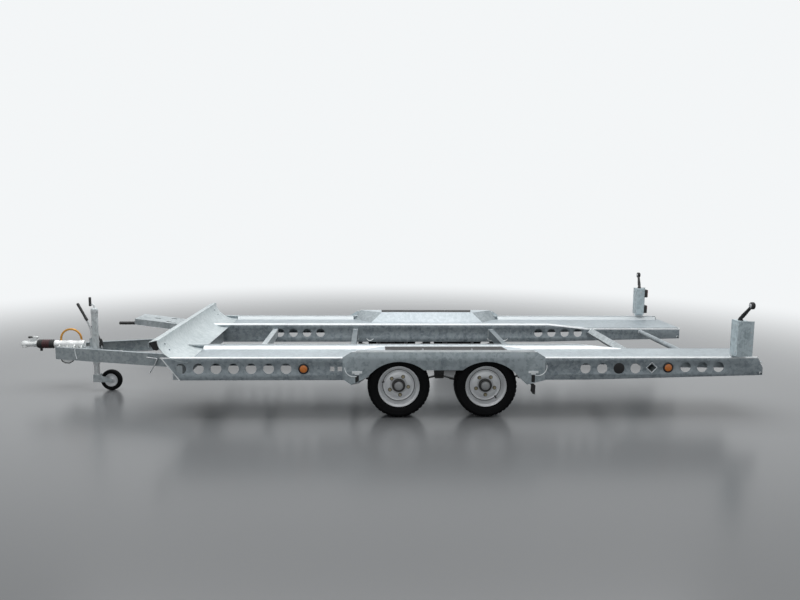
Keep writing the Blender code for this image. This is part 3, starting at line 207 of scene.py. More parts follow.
class Finish(Nodes):
    """One material: its shader, and the patterns that drive it."""

    def __init__(self, name, roughness=0.5, metallic=0.0, coat=0.0):
        self.material = bpy.data.materials.new(name)
        super().__init__(self.material)
        self.shader = self.tree.nodes["Principled BSDF"]
        self.set("Roughness", roughness)
        self.set("Metallic", metallic)
        self.set("Coat Weight", coat)

    def set(self, name, value):
        self.put(self.shader.inputs[name], value)

    def place(self):
        return Socket(self, self.node("ShaderNodeTexCoord").outputs["Object"])

    def stretched(self, scales):
        """The object's own coordinates, scaled along each axis."""
        settings = {"operation": "MULTIPLY"}
        node = self.node("ShaderNodeVectorMath", settings, {0: self.place(), 1: scales})
        return Socket(self, node.outputs[0])

    def along(self):
        """The x, y and z of the object's own coordinates."""
        node = self.node("ShaderNodeSeparateXYZ", None, {0: self.place()})
        return [Socket(self, out) for out in node.outputs]

    def noise(self, scale, detail=3.0, where=None):
        values = {"Vector": where or self.place(), "Scale": scale, "Detail": detail}
        return Socket(self, self.node("ShaderNodeTexNoise", None, values).outputs[0])

    def cells(self, scale):
        """A random value for each cell of a crystal pattern."""
        node = self.node("ShaderNodeTexVoronoi", None, {"Vector": self.place(), "Scale": scale})
        return Socket(self, self.node("ShaderNodeSeparateColor", None, {0: node.outputs["Color"]}).outputs[0])

    def ramp(self, value, stops):
        node = self.node("ShaderNodeValToRGB", {"stops": stops}, {0: value})
        return Socket(self, node.outputs[0])

    def mix(self, share, first, second):
        values = {0: share, 6: first, 7: second}
        node = self.node("ShaderNodeMix", {"data_type": "RGBA"}, values)
        return Socket(self, node.outputs[2])

    def bump(self, height, strength, distance):
        values = {"Height": height, "Strength": strength, "Distance": distance}
        self.set("Normal", Socket(self, self.node("ShaderNodeBump", None, values).outputs[0]))


def grey(value, tint=(1.0, 1.0, 1.0)):
    return tuple(value * t for t in tint)


def rgba(color):
    return (*color, 1.0)


def zinc(name, dark, light, metallic=0.45, streaks=0.35, crystal=42.0, deck=False):
    """Hot-dip galvanised steel: crystals, drips and cloudy patches."""
    finish = Finish(name, metallic=metallic)
    crystals = finish.cells(crystal)
    small = finish.cells(crystal * 2.7)
    clouds = finish.noise(2.6, 4.0)
    runs = finish.noise(1.0, 5.0, finish.stretched((16.0, 16.0, 1.6)))
    grain = finish.noise(220.0, 2.0)
    tone = crystals * 0.3 + small * 0.12 + clouds * (0.62 - streaks * 0.5) + runs * streaks
    middle = tuple((a + b) / 2 for a, b in zip(dark, light))
    color = finish.ramp(tone, [(0.26, dark), (0.5, middle), (0.74, light)])
    height = crystals * 0.25 + grain * 0.25 + clouds * 0.5
    if deck:
        x, y, z = finish.along()
        diagonals = {0: (x + y) * SPOTS_PER_METRE, 1: (x - y) * SPOTS_PER_METRE}
        grid = finish.node("ShaderNodeCombineXYZ", None, diagonals)
        spots = finish.node("ShaderNodeTexVoronoi", {"voronoi_dimensions": "2D"},
                            {"Vector": grid.outputs[0], "Scale": 1.0, "Randomness": 0.0})
        spot = Socket(finish, spots.outputs["Distance"]) < SPOT_RADIUS
        color = finish.mix(spot * 0.5, color, rgba(grey(0.6, dark)))
        height = height - spot * 1.4
        # Raised kerbs get a lighter tone as a painted highlight; the inner kerbs, which the lamps light less,
        # get the lightest one
        raised = z > DECK_TOP + KERB_LIFT
        kerb_highlight = finish.mix(y * y < KERB_SPLIT_Y ** 2, rgba(KERB_HIGHLIGHT_TONE), rgba(INNER_KERB_HIGHLIGHT_TONE))
        color = finish.mix(raised, color, kerb_highlight)
    finish.set("Base Color", color)
    finish.set("Roughness", 0.36 + crystals * 0.12 + clouds * 0.16)
    finish.bump(height, 0.3, 0.0012)
    return finish.material


def rubber(name, color=(0.012, 0.012, 0.013), dust=(0.05, 0.05, 0.048), roughness=0.62, shine=0.5):
    """Black rubber with dusty patches."""
    finish = Finish(name)
    finish.set("Specular IOR Level", shine)
    wear = finish.noise(9.0, 4.0)
    grain = finish.noise(420.0, 2.0)
    finish.set("Base Color", finish.ramp(wear, [(0.35, color), (0.75, dust)]))
    finish.set("Roughness", roughness + wear * 0.2)
    finish.bump(grain, 0.15, 0.0006)
    return finish.material


def paint(name, dark, light, roughness=0.38, metallic=0.0):
    """A smooth coat of paint or plating, or moulded plastic, with faint clouds and a fine peel."""
    finish = Finish(name, metallic=metallic)
    clouds = finish.noise(5.0, 4.0)
    peel = finish.noise(160.0, 2.0)
    finish.set("Base Color", finish.ramp(clouds, [(0.3, dark), (0.7, light)]))
    finish.set("Roughness", roughness + clouds * 0.12)
    finish.bump(peel, 0.08, 0.0005)
    return finish.material


def lens(name, color, deep):
    """A moulded lens with fine prisms behind a glossy face."""
    finish = Finish(name, roughness=0.14, coat=0.4)
    values = {"Vector": finish.stretched((150.0, 150.0, 150.0)), "Scale": 1.0}
    prisms = finish.node("ShaderNodeTexChecker", None, values)
    facets = Socket(finish, prisms.outputs["Fac"])
    finish.set("Base Color", finish.mix(facets * 0.5, rgba(color), rgba(deep)))
    finish.bump(facets, 0.2, 0.0008)
    return finish.material


def grip_strip(name):
    """Black self-adhesive anti-slip strip with coarse grit."""
    finish = Finish(name)
    grit = finish.cells(520.0)
    wear = finish.noise(14.0, 3.0)
    finish.set("Base Color", finish.ramp(grit * 0.6 + wear * 0.4, [(0.25, grey(0.014)), (0.8, grey(0.055))]))
    finish.set("Roughness", 0.75 + grit * 0.2)
    finish.bump(grit, 0.6, 0.001)
    return finish.material


def folded_rubber(name, start, end):
    """Bellows: black rubber, dark red about the middle of its length."""
    finish = Finish(name)
    x, _, _ = finish.along()
    share = (x - start) / (end - start)
    middle = (share > 0.3) * (share < 0.72)
    dust = finish.noise(60.0, 3.0)
    color = finish.mix(middle, rgba(grey(0.014)), rgba((0.06, 0.012, 0.014)))
    finish.set("Base Color", finish.mix(dust * 0.35, color, rgba(grey(0.06))))
    finish.set("Roughness", 0.5 + dust * 0.2)
    finish.bump(dust, 0.1, 0.0006)
    return finish.material


DECK_ZINC = zinc("deck_zinc", (0.26, 0.3, 0.325), (0.42, 0.47, 0.495), metallic=0.3, streaks=0.1, deck=True)
STOP_ZINC = zinc("stop_zinc", (0.36, 0.415, 0.43), (0.56, 0.61, 0.62), metallic=0.3, streaks=0.2)
WEB_ZINC = zinc("web_zinc", (0.1, 0.128, 0.148), (0.315, 0.36, 0.385), metallic=0.35, streaks=0.5)
ARCH_ZINC = zinc("arch_zinc", (0.185, 0.228, 0.25), (0.41, 0.465, 0.49), metallic=0.35, streaks=0.6)
BOX_ZINC = zinc("arch_box_zinc", (0.36, 0.41, 0.44), (0.51, 0.56, 0.59), metallic=0.25, streaks=0.15)
# A darker copy of the box zinc: painted shade for the box's end faces
BOX_END_SHADE_ZINC = zinc("arch_box_end_painted_shade", (0.16, 0.185, 0.2), (0.29, 0.325, 0.34), metallic=0.3, streaks=0.2)
BAR_ZINC = zinc("bar_zinc", (0.24, 0.28, 0.295), (0.48, 0.52, 0.535), metallic=0.35, streaks=0.25)
DRAWBAR_ZINC = zinc("drawbar_zinc", (0.18, 0.215, 0.235), (0.38, 0.42, 0.435), metallic=0.45, streaks=0.3)
POST_ZINC = zinc("post_zinc", (0.2, 0.26, 0.29), (0.5, 0.58, 0.61), metallic=0.35, streaks=0.6)
TUBE_ZINC = zinc("tube_zinc", (0.34, 0.375, 0.385), (0.6, 0.64, 0.65), metallic=0.4, streaks=0.5)
CAST_ZINC = zinc("cast_zinc", (0.72, 0.75, 0.75), (0.93, 0.94, 0.935), metallic=0.45, streaks=0.1,
                 crystal=90.0)
BOLT_ZINC = zinc("bolt_zinc", (0.34, 0.36, 0.37), (0.64, 0.66, 0.67), metallic=0.6, streaks=0.1,
                 crystal=160.0)
# Near-white zinc for the rolled rail tops, the raked and rear rail edges and the rims of the half-round
# pressings: a painted highlight where these bends catch the light
EDGE_HIGHLIGHT_ZINC = zinc("edge_highlight_zinc", (0.8, 0.84, 0.85), (0.95, 0.97, 0.975), metallic=0.2, streaks=0.1)
# Light zinc for welds, lips and clips, also used as a painted highlight: strips along the arch plate's and
# box's top edges, arcs on the pressed discs and the flange below the rear holes
BRIGHT_ZINC_AND_HIGHLIGHT = zinc("bright_zinc_and_edge_highlight", (0.78, 0.82, 0.84), (0.93, 0.96, 0.97), metallic=0.25, streaks=0.1)
TYRE_RUBBER = rubber("tyre_rubber", color=(0.003, 0.0033, 0.0038), dust=(0.008, 0.0083, 0.009), roughness=0.7,
                     shine=0.1)
# A very dark zinc for the two axle cross members between the tracks: painted shade, so their lit tops stay
# dim
AXLE_BAR_SHADE_ZINC = zinc("axle_bar_painted_shade_zinc", (0.065, 0.082, 0.094), (0.17, 0.2, 0.215), metallic=0.35, streaks=0.4)
# A darker copy of the bar zinc: painted shade on the ramp bar's body; the stop rivets use it too
BAR_SHADE_ZINC = zinc("bar_shade_zinc", (0.17, 0.2, 0.22), (0.34, 0.38, 0.4), metallic=0.35, streaks=0.4)
SOFT_RUBBER = rubber("black_rubber", dust=(0.024, 0.024, 0.025), roughness=0.5, shine=0.35)
BLACK_PAINT = paint("black_paint", grey(0.012), grey(0.032), roughness=0.4)
BLACK_PLASTIC = paint("black_plastic", grey(0.01), grey(0.02), roughness=0.42)
COOL, BLUISH = (0.98, 1.0, 1.02), (1.0, 1.02, 1.04)
RIM_PAINT = paint("rim_paint", grey(0.66, COOL), grey(0.77, COOL), roughness=0.36, metallic=0.25)
HUB_PAINT = paint("hub_paint", grey(0.3, BLUISH), grey(0.38, BLUISH), roughness=0.4, metallic=0.4)
NUT_GOLD = paint("passivated_nuts", (0.26, 0.23, 0.15), (0.42, 0.38, 0.27), roughness=0.32, metallic=0.7)
AMBER_LENS = lens("amber_lens", (0.86, 0.25, 0.02), (0.42, 0.08, 0.01))
RED_LENS = lens("red_lens", (0.55, 0.018, 0.018), (0.2, 0.008, 0.008))
CLEAR_LENS = lens("clear_lens", (0.52, 0.54, 0.56), (0.26, 0.28, 0.3))
YELLOW_ZINC = paint("yellow_passivated", (0.42, 0.18, 0.025), (0.66, 0.33, 0.06), roughness=0.3, metallic=0.5)
GRIP_STRIP = grip_strip("anti_slip_strip")


def placed(axis, along, a, b):
    """The point at that place along an axis, with a and b as its other two coordinates in their order."""
    return {"X": (along, a, b), "Y": (a, along, b), "Z": (a, b, along)}[axis]


def at_y(points, y):
    return [(x, y, z) for x, z in points]


def rect(a0, b0, a1, b1):
    return [(a0, b0), (a1, b0), (a1, b1), (a0, b1)]


def facing(section, side):
    """A section of (radius, along) pairs, turned towards that side."""
    return [(radius, side * along) for radius, along in section]


def both_ways(section):
    """A section of (radius, along) pairs, followed by its mirror image."""
    return section + facing(section[::-1], -1)


class Shape:
    """Forms gathered in one mesh."""

    def __init__(self):
        self.bm = bmesh.new()

    def join(self, low, high):
        """Faces between two closed rows of vertices."""
        for corners in zip(low, low[1:] + low[:1], high[1:] + high[:1], high):
            self.bm.faces.new(corners)

    def skin(self, rings):
        """A form through rings of points, closed at both ends."""
        rows = [[self.bm.verts.new(p) for p in ring] for ring in rings]
        for low, high in zip(rows, rows[1:]):
            self.join(low, high)
        self.bm.faces.new(rows[0][::-1])
        self.bm.faces.new(rows[-1])
        return self

    def prism(self, outline, start, end, axis="Y"):
        return self.skin([[placed(axis, along, a, b) for a, b in outline] for along in (start, end)])

    def box(self, low, high):
        return self.prism(rect(low[0], low[1], high[0], high[1]), low[2], high[2], "Z")

    def turned(self, profile, centre, axis, segments=48, warp=None):
        """Turn a closed section of (radius, along) pairs; warp may change a radius by its place."""
        rows = []
        for step in range(segments):
            angle = 2 * math.pi * step / segments
            verts = []
            for i, (radius, along) in enumerate(profile):
                size = warp(i, step, radius) if warp else radius
                local = placed(axis, along, size * math.cos(angle), size * math.sin(angle))
                verts.append(self.bm.verts.new(Vector(centre) + Vector(local)))
            rows.append(verts)
        for low, high in zip(rows, rows[1:] + rows[:1]):
            self.join(low, high)
        return self

    def rod(self, start, end, radius, segments=20, end_radius=None):
        return self.pipe([start, end], radius, segments, end_radius)

    def pipe(self, points, radius, segments=14, end_radius=None):
        points = [Vector(p) for p in points]
        rings = []
        across = None
        for i, point in enumerate(points):
            before = point - points[max(i - 1, 0)]
            after = points[min(i + 1, len(points) - 1)] - point
            axis = (before.normalized() + after.normalized()).normalized()
            if across is None:
                across = axis.orthogonal().normalized()
            across = (across - across.dot(axis) * axis).normalized()
            other = axis.cross(across)
            share = i / (len(points) - 1)
            size = radius if end_radius is None else radius + (end_radius - radius) * share
            turns = [2 * math.pi * k / segments for k in range(segments)]
            rings.append([point + size * (math.cos(t) * across + math.sin(t) * other) for t in turns])
        return self.skin(rings)

    def bead(self, outline, y, radius):
        """A closed bead along an outline of (x, z) pairs."""
        path = at_y(outline, y)
        return self.pipe(path + path[:1], radius, 8)

    def hexagon(self, centre, direction, radius, height):
        centre, direction = Vector(centre), Vector(direction).normalized()
        return self.rod(centre, centre + direction * height, radius, 6)

    def bolt(self, centre, direction, size):
        """A hexagon head on a washer."""
        centre, direction = Vector(centre), Vector(direction).normalized()
        self.rod(centre, centre + direction * size * 0.25, size * 1.15, 20)
        return self.hexagon(centre + direction * size * 0.25, direction, size * 0.9, size * 0.65)

    def ball(self, centre, radius, segments):
        around, rows = segments
        made = bmesh.ops.create_uvsphere(self.bm, u_segments=around, v_segments=rows, radius=radius)
        bmesh.ops.translate(self.bm, verts=made["verts"], vec=Vector(centre))
        return self

    def sheet(self, path, thickness, start, end):
        """A bent sheet along a path of (x, z), from y start to end, its thickness to the path's left."""
        offset = []
        for i, point in enumerate(path):
            before = Vector(path[max(i - 1, 0)])
            after = Vector(path[min(i + 1, len(path) - 1)])
            along = (after - before).normalized()
            offset.append((point[0] - along.y * thickness, point[1] + along.x * thickness))
        outline = list(path) + offset[::-1]
        low, high = ([self.bm.verts.new(p) for p in at_y(outline, y)] for y in (start, end))
        self.join(low, high)
        total = len(outline)
        for i in range(len(path) - 1):
            for verts, flip in ((low, 1), (high, -1)):
                corners = (verts[i], verts[i + 1], verts[total - 2 - i], verts[total - 1 - i])
                self.bm.faces.new(corners[::flip])
        return self

    def plate(self, outline, holes, start, end):
        """A flat plate of (x, z) with holes through it, from y start to end, its edges slightly rounded."""
        edge = 0.0008
        curve = bpy.data.curves.new("plate", "CURVE")
        curve.dimensions = "2D"
        curve.fill_mode = "BOTH"
        curve.bevel_depth = edge
        curve.offset = -edge
        curve.bevel_resolution = 1
        curve.extrude = abs(end - start) / 2 - edge
        for loop in [outline] + list(holes):
            spline = curve.splines.new("POLY")
            spline.points.add(len(loop) - 1)
            for target, point in zip(spline.points, loop):
                target.co = (point[0], point[1], 0.0, 1.0)
            spline.use_cyclic_u = True
        item = bpy.data.objects.new("plate", curve)
        mesh = item.to_mesh()
        mesh.transform(Matrix(((1, 0, 0, 0), (0, 0, 1, (start + end) / 2), (0, 1, 0, 0), (0, 0, 0, 1))))
        self.bm.from_mesh(mesh)
        item.to_mesh_clear()
        bpy.data.objects.remove(item)
        bpy.data.curves.remove(curve)
        return self

    def make(self, name, material, body="chassis", bevel=0.0, angle=38, stands_for=()):
        """The finished object; edges sharper than the angle stay sharp."""
        bmesh.ops.remove_doubles(self.bm, verts=self.bm.verts, dist=0.00002)
        bmesh.ops.recalc_face_normals(self.bm, faces=self.bm.faces)
        mesh = bpy.data.meshes.new(name)
        self.bm.to_mesh(mesh)
        self.bm.free()
        mesh.shade_smooth()
        mesh.set_sharp_from_angle(angle=math.radians(angle))
        mesh.materials.append(material)
        item = bpy.data.objects.new(name, mesh)
        bpy.context.scene.collection.objects.link(item)
        if bevel:
            soften(item, bevel)
        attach(item, body)
        if stands_for:
            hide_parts(*stands_for)
        return item


def soften(item, width):
    """Round an object's sharp edges."""
    bevel = item.modifiers.new("edges", "BEVEL")
    bevel.width = width
    bevel.segments = 2
    bevel.limit_method = "ANGLE"
    bevel.angle_limit = math.radians(40)
    bevel.use_clamp_overlap = True


def keep(node, material, bevel=0.0):
    """Give a carried-over CAD node its finish, and softer edges."""
    item = NODES[node]
    item.data.materials.clear()
    item.data.materials.append(material)
    if bevel:
        soften(item, bevel)


# Outlines and paths

def circle(x, z, radius, segments=40):
    turns = [2 * math.pi * i / segments for i in range(segments)]
    return [(x + radius * math.cos(t), z + radius * math.sin(t)) for t in turns]


def arc(centre, radius, start, end, steps):
    turns = [math.radians(start + (end - start) * i / steps) for i in range(steps + 1)]
    return [(centre[0] + radius * math.cos(t), centre[1] + radius * math.sin(t)) for t in turns]


def row(first, count, pitch=HOLE_PITCH, height=HOLE_Z):
    """A row of round holes in a web."""
    return [circle(first + pitch * i, height, HOLE_RADIUS) for i in range(count)]


def smooth_path(points, steps):
    """The same path with rounded turns between its points."""
    points = [Vector(p) for p in points]
    padded = [points[0] * 2 - points[1]] + points + [points[-1] * 2 - points[-2]]
    path = []
    for a, b, c, d in zip(padded, padded[1:], padded[2:], padded[3:]):
        for i in range(steps):
            t = i / steps
            path.append(0.5 * ((2 * b) + (c - a) * t + (2 * a - 5 * b + 4 * c - d) * t * t
                               + (3 * b - a - 3 * c + d) * t ** 3))
    path.append(points[-1])
    return path


# Tracks

def wheel_edge(steps=28):
    """The edge above both wheels, front to rear."""
    centre_z = OPENING_TOP - OPENING_RADIUS
    half = math.sqrt(OPENING_RADIUS ** 2 - (MIDDLE_BOTTOM - centre_z) ** 2)
    leg = math.degrees(math.acos(OPENING_LEG / OPENING_RADIUS))
    mid = math.degrees(math.acos(half / OPENING_RADIUS))
    front = arc((AXLE_X[0], centre_z), OPENING_RADIUS, 180 - leg, mid, steps)
    rear = arc((AXLE_X[1], centre_z), OPENING_RADIUS, 180 - mid, leg, steps)
    return front + rear


def rolled_top(stations, face, inward):
    """A rail's rounded top, where its web bends over towards the deck, through (x, top, radius)."""
    turns = [math.radians(90 * i / 7) for i in range(8)]
    rings = []
    for x, top, radius in stations:
        ring = []
        for size in (radius, radius - SHEET):
            bend = [(x, face + inward * (radius - size * math.cos(t)), top - radius + size * math.sin(t))
                    for t in turns]
            bend.append((x, bend[-1][1] + inward * SHEET, bend[-1][2]))
            ring += bend if size == radius else bend[::-1]
        rings.append(ring)
    return Shape().skin(rings)


def tube_hole():
    """The opening for the rear cross tube, a square on its corner."""
    return [(TUBE_X - TUBE_HALF, TUBE_Z), (TUBE_X, TUBE_Z - TUBE_HALF), (TUBE_X + TUBE_HALF, TUBE_Z),
            (TUBE_X, TUBE_Z + TUBE_HALF)]


def bottom_flange(shape, path, back, inward):
    """A rail's lower flange along its bottom edge, from the web's back inwards."""
    outline = path + [(x, z + SHEET) for x, z in path[::-1]]
    return shape.prism(outline, back, inward)


def outer_rail(label, side):
    """The outer C-rail: a web with its holes, a rolled top, a bottom flange and a raked front edge."""
    bend = 0.011
    edge = wheel_edge()
    left, right = edge[0][0] - FLANGE, edge[-1][0] + FLANGE
    outline = [(RAKE_FOOT_X, RAIL_BOTTOM), (left, RAIL_BOTTOM), (left, edge[0][1])] + edge
    outline += [(right, edge[-1][1]), (right, RAIL_BOTTOM), (TAPER_X, RAIL_BOTTOM), (REAR_X, TAPER_Z)]
    outline += [(REAR_X, TAIL_TOP), (3.308, RAIL_TOP - bend), (-1.6915, RAIL_TOP - bend)]
    holes = row(-1.533, 7, pitch=0.1437) + row(1.832, 4) + row(2.685, 3, height=0.442)
    holes += [circle(x, z, HOLE_RADIUS) for x, z in SIDE_LAMPS.values()]
    holes += [tube_hole()] + [rect(x - 0.018, 0.411, x + 0.018, 0.449) for x in (-0.29, -0.228)]
    face, back = side * OUTER_Y, side * (OUTER_Y - SHEET)
    rail = Shape().plate(outline, holes, face, back)
    inward = side * (OUTER_Y - FLANGE)
    bottom_flange(rail, [(RAKE_FOOT_X, RAIL_BOTTOM), (left, RAIL_BOTTOM)], back, inward)
    bottom_flange(rail, [(right, RAIL_BOTTOM), (TAPER_X, RAIL_BOTTOM), (REAR_X, TAPER_Z)], back, inward)
    rail.make(f"{label}_outer_web", WEB_ZINC, stands_for=[f"{label}_outer_rail"])
    top = rolled_top([(RAKE_TOP_X, RAIL_TOP, bend), (3.303, RAIL_TOP, bend)], face, -side)
    rake = [(RAKE_FOOT_X, RAIL_BOTTOM), (RAKE_TOP_X, RAIL_TOP), (RAKE_TOP_X + 0.012, RAIL_TOP),
            (RAKE_FOOT_X + 0.012, RAIL_BOTTOM)]
    top.prism(rake, side * (OUTER_Y + 0.0003), side * (OUTER_Y - 0.024))
    tail = [(3.302, RAIL_TOP), (REAR_X, TAIL_TOP), (REAR_X - SHEET, TAIL_TOP), (3.302 - SHEET, RAIL_TOP)]
    top.prism(tail, side * (OUTER_Y + 0.0003), side * (OUTER_Y - 0.016))
    # The rolled top and the rake and tail strips are near white as a painted highlight along these edges
    top.make(f"{label}_outer_rolled_edge", EDGE_HIGHLIGHT_ZINC)


def inner_rail(label, side):
    """The inner C-rail, with half-round pressings and a rolled top that steps down towards the rear."""
    bend = 0.016
    outline = [(-1.5197, RAIL_BOTTOM), (TAPER_X, RAIL_BOTTOM), (REAR_X, TAPER_Z), (REAR_X, DECK_TOP - bend)]
    outline += [(2.33, DECK_TOP - bend), (1.93, RAIL_TOP - bend), (-1.687, RAIL_TOP - bend),
                (-1.6468, 0.4596), (-1.5197, 0.4596)]
    holes = row(-0.929, 4) + row(1.818, 4) + [tube_hole()]
    face, back = side * INNER_Y, side * (INNER_Y + SHEET)
    rail = Shape().plate(outline, holes, face, back)
    path = [(-1.5197, RAIL_BOTTOM), (TAPER_X, RAIL_BOTTOM), (REAR_X, TAPER_Z)]
    bottom_flange(rail, path, back, side * (INNER_Y + FLANGE))
    rail.make(f"{label}_inner_web", WEB_ZINC, stands_for=[f"{label}_inner_rail"])
    stations = [(RAKE_TOP_X, RAIL_TOP), (1.93, RAIL_TOP), (2.33, DECK_TOP), (REAR_X, DECK_TOP)]
    top = rolled_top([(x, z, bend) for x, z in stations], face, side)
    # Bright arcs stand for the half-round pressings; like the rolled top they are near white as a painted
    # highlight
    for x in (-0.136, 0.02, 1.305, 1.453):
        top.pipe(at_y(arc((x, 0.388), 0.04, 205, 335, 16), face), 0.0045, 10, 0.004)
    top.make(f"{label}_inner_rolled_edge", EDGE_HIGHLIGHT_ZINC)


def arch(label, side):
    """The plate over both wheels with its lip, pressed discs and tie brackets, and the box over the tyres."""
    outline = [(-0.205, RAIL_TOP), (-0.205, 0.345), (-0.13, LOBE_BOTTOM)] + wheel_edge()
    outline += [(1.34, LOBE_BOTTOM), (1.488, 0.3315), (1.488, RAIL_TOP), (1.413, 0.575), (-0.13, 0.575)]
    slots = [rect(x - 0.015, 0.314, x + 0.015, 0.377) for x in TIE_SLOTS]
    inner, outer = side * PLATE_Y, side * PLATE_OUT_Y
    plate = Shape().plate(outline, slots, inner, outer)
    plate.sheet(wheel_edge(), 0.003, side * 1.136, inner)
    pressed = Shape()
    for (x, z), (start, end) in (((-0.112, 0.44), (178, 288)), ((1.428, 0.446), (252, 372))):
        plate.bead(circle(x, z, 0.074, 48), outer, 0.002)
        # A bright arc on one side of each pressed disc: painted highlight on its lit rim
        pressed.pipe(at_y(arc((x, z), 0.075, start, end, 18), outer), 0.0042, 10)
    plate.make(f"{label}_arch_plate", ARCH_ZINC, stands_for=[f"{label}_wheel_arch"])
    shell = box_shell(side).make(f"{label}_arch_box", BOX_ZINC, bevel=0.0025)
    # Faces that face forward or back take the darker end zinc: painted shade on the box's steep end walls
    shell.data.materials.append(BOX_END_SHADE_ZINC)
    for face in shell.data.polygons:
        face.material_index = int(abs(face.normal.x) > 0.35)
    half = [(0.042, 0.412), (0.042, 0.393), (0.02, 0.393), (0.02, 0.382)]
    for x in TIE_SLOTS:
        tee = [(x - reach, z) for reach, z in half] + [(x + reach, z) for reach, z in half[::-1]]
        pressed.prism(tee, outer, side * (PLATE_OUT_Y + 0.006))
    # Bright strips along the plate's top edge and the box's outer top edge: painted highlights
    pressed.prism(rect(-0.13, 0.5705, 1.413, 0.5765), inner, side * (PLATE_OUT_Y + 0.0008))
    box_edge = [(-0.096, 0.577), (1.401, 0.577), (1.395, 0.5886), (-0.09, 0.5886)]
    pressed.prism(box_edge, side * 1.148, side * 1.1514)
    pressed.make(f"{label}_tie_brackets_and_edge_highlights", BRIGHT_ZINC_AND_HIGHLIGHT, bevel=0.0008)
    # Black boxes behind the tie slots are painted shade inside the slots; the strap by the rear slot is a
    # black rubber flap
    shade_boxes_and_strap = Shape()
    for x in TIE_SLOTS:
        shade_boxes_and_strap.box((x - 0.018, side * 1.128, 0.308), (x + 0.018, inner, 0.38))
    strap = [(1.368, 0.3), (1.376, 0.282), (1.372, 0.24), (1.392, 0.212), (1.412, 0.206), (1.414, 0.284),
             (1.398, 0.3)]
    shade_boxes_and_strap.prism(strap, side * 1.139, side * 1.143)
    shade_boxes_and_strap.make(f"{label}_slot_shade_boxes_and_strap", SOFT_RUBBER, bevel=0.001)
    strip = [(0.148, side * 0.998), (1.142, side * 0.998), (1.166, side * 1.144), (0.148, side * 1.144)]
    strip_top = ARCH_TOP + 0.0018
    Shape().prism(strip, ARCH_TOP, strip_top, "Z").make(f"{label}_grip_strip", GRIP_STRIP, bevel=0.0005)
    studs = Shape()
    for x in (0.46, 0.87):
        studs.bolt((x, side * 1.136, strip_top), (0, 0, 1), 0.007)
    studs.make(f"{label}_strip_bolts", BOLT_ZINC)


def box_shell(side):
    """The open-bottomed box over the tyres, narrower at its head."""
    foot = (-0.165, 1.47), (0.03, 1.27), 0.905, 1.1457
    head = (-0.09, 1.395), (0.15, 1.16), 0.975, 1.15
    shape = Shape()
    rows = []
    for corners, z, inset in ((foot, 0.4825, 0), (head, ARCH_TOP, 0), (head, ARCH_TOP - SHEET, SHEET),
                              (foot, 0.4825, SHEET)):
        (front, rear), (inner_front, inner_rear), inner_y, outer_y = corners
        ring = [(front + inset, side * outer_y, z), (inner_front + inset, side * (inner_y + inset), z),
                (inner_rear - inset, side * (inner_y + inset), z), (rear - inset, side * outer_y, z)]
        rows.append([shape.bm.verts.new(p) for p in ring])
    for first, second in ((0, 1), (2, 3), (3, 0)):
        for i in range(3):
            shape.bm.faces.new((rows[first][i], rows[first][i + 1], rows[second][i + 1], rows[second][i]))
    shape.bm.faces.new(rows[1])
    shape.bm.faces.new(rows[2][::-1])
    shape.bm.faces.new((rows[1][0], rows[1][3], rows[2][3], rows[2][0]))
    for i in (0, 3):
        shape.bm.faces.new((rows[0][i], rows[1][i], rows[2][i], rows[3][i]))
    return shape


def stop_path(steps=24):
    """The front stop's sweep, from the deck up and forward: a quarter of an ellipse."""
    foot_x, foot_z, bend_x, bend_z = -1.47, 0.4893, -1.715, 0.668
    turns = [math.radians(90 * i / steps) for i in range(steps + 1)]
    return [(foot_x - (foot_x - bend_x) * math.sin(t), foot_z + (bend_z - foot_z) * (1 - math.cos(t)))
            for t in turns]


def front_stop():
    """The curved stop in front of the wheels: a rolled sheet with a folded nose, rivets, and black plates in
    its ends as painted shade under the nose.
    """
    path = stop_path()
    nose = [(-1.722, 0.6705), (-1.742, 0.666), (-1.782, 0.6545), (-1.7875, 0.6515), (-1.79, 0.646),
            (-1.79, 0.607)]
    stop = Shape().sheet(path + nose, SHEET, -OUTER_Y - 0.0004, OUTER_Y + 0.0004)
    stop.make("rolled_front_stop", STOP_ZINC, stands_for=["front_stop"])
    studs = Shape()
    for y in (-0.985, 0.985):
        for i in (14, 19):
            (x0, z0), (x1, z1) = path[i], path[i + 1]
            out = Vector((z0 - z1, 0, x1 - x0)).normalized()
            out = out if out.x > 0 else -out
            studs.ball(Vector((x0, y, z0)) + out * 0.001, 0.008, (16, 12))
    studs.make("stop_rivets", BAR_SHADE_ZINC)
    # Black plates in both ends stand for the shade under the folded nose: painted shade
    ends = Shape()
    nose_shade_outline = [(-1.786, 0.648), (-1.722, 0.664), (-1.7155, 0.64), (-1.7045, 0.6), (-1.722, 0.583),
              (-1.752, 0.59)]
    for side in (-1, 1):
        ends.prism(nose_shade_outline, side * 1.136, side * 1.146)
    ends.make("stop_end_shade_plates", SOFT_RUBBER, bevel=0.0015)


for label, side in SIDES:
    outer_rail(label, side)
    inner_rail(label, side)
    keep(f"{label}_deck", DECK_ZINC)
    arch(label, side)
front_stop()
keep("front_beam", DRAWBAR_ZINC, 0.002)
# The axle cross members take the very dark zinc as painted shade
for node in ("front_axle_cross_member", "rear_axle_cross_member"):
    keep(node, AXLE_BAR_SHADE_ZINC, 0.002)
# The ramp bar takes the darker bar zinc as painted shade
keep("ramp_bar", BAR_SHADE_ZINC)
for node in ("front_cross_member", "rear_cross_tube"):
    keep(node, BAR_ZINC, 0.002)


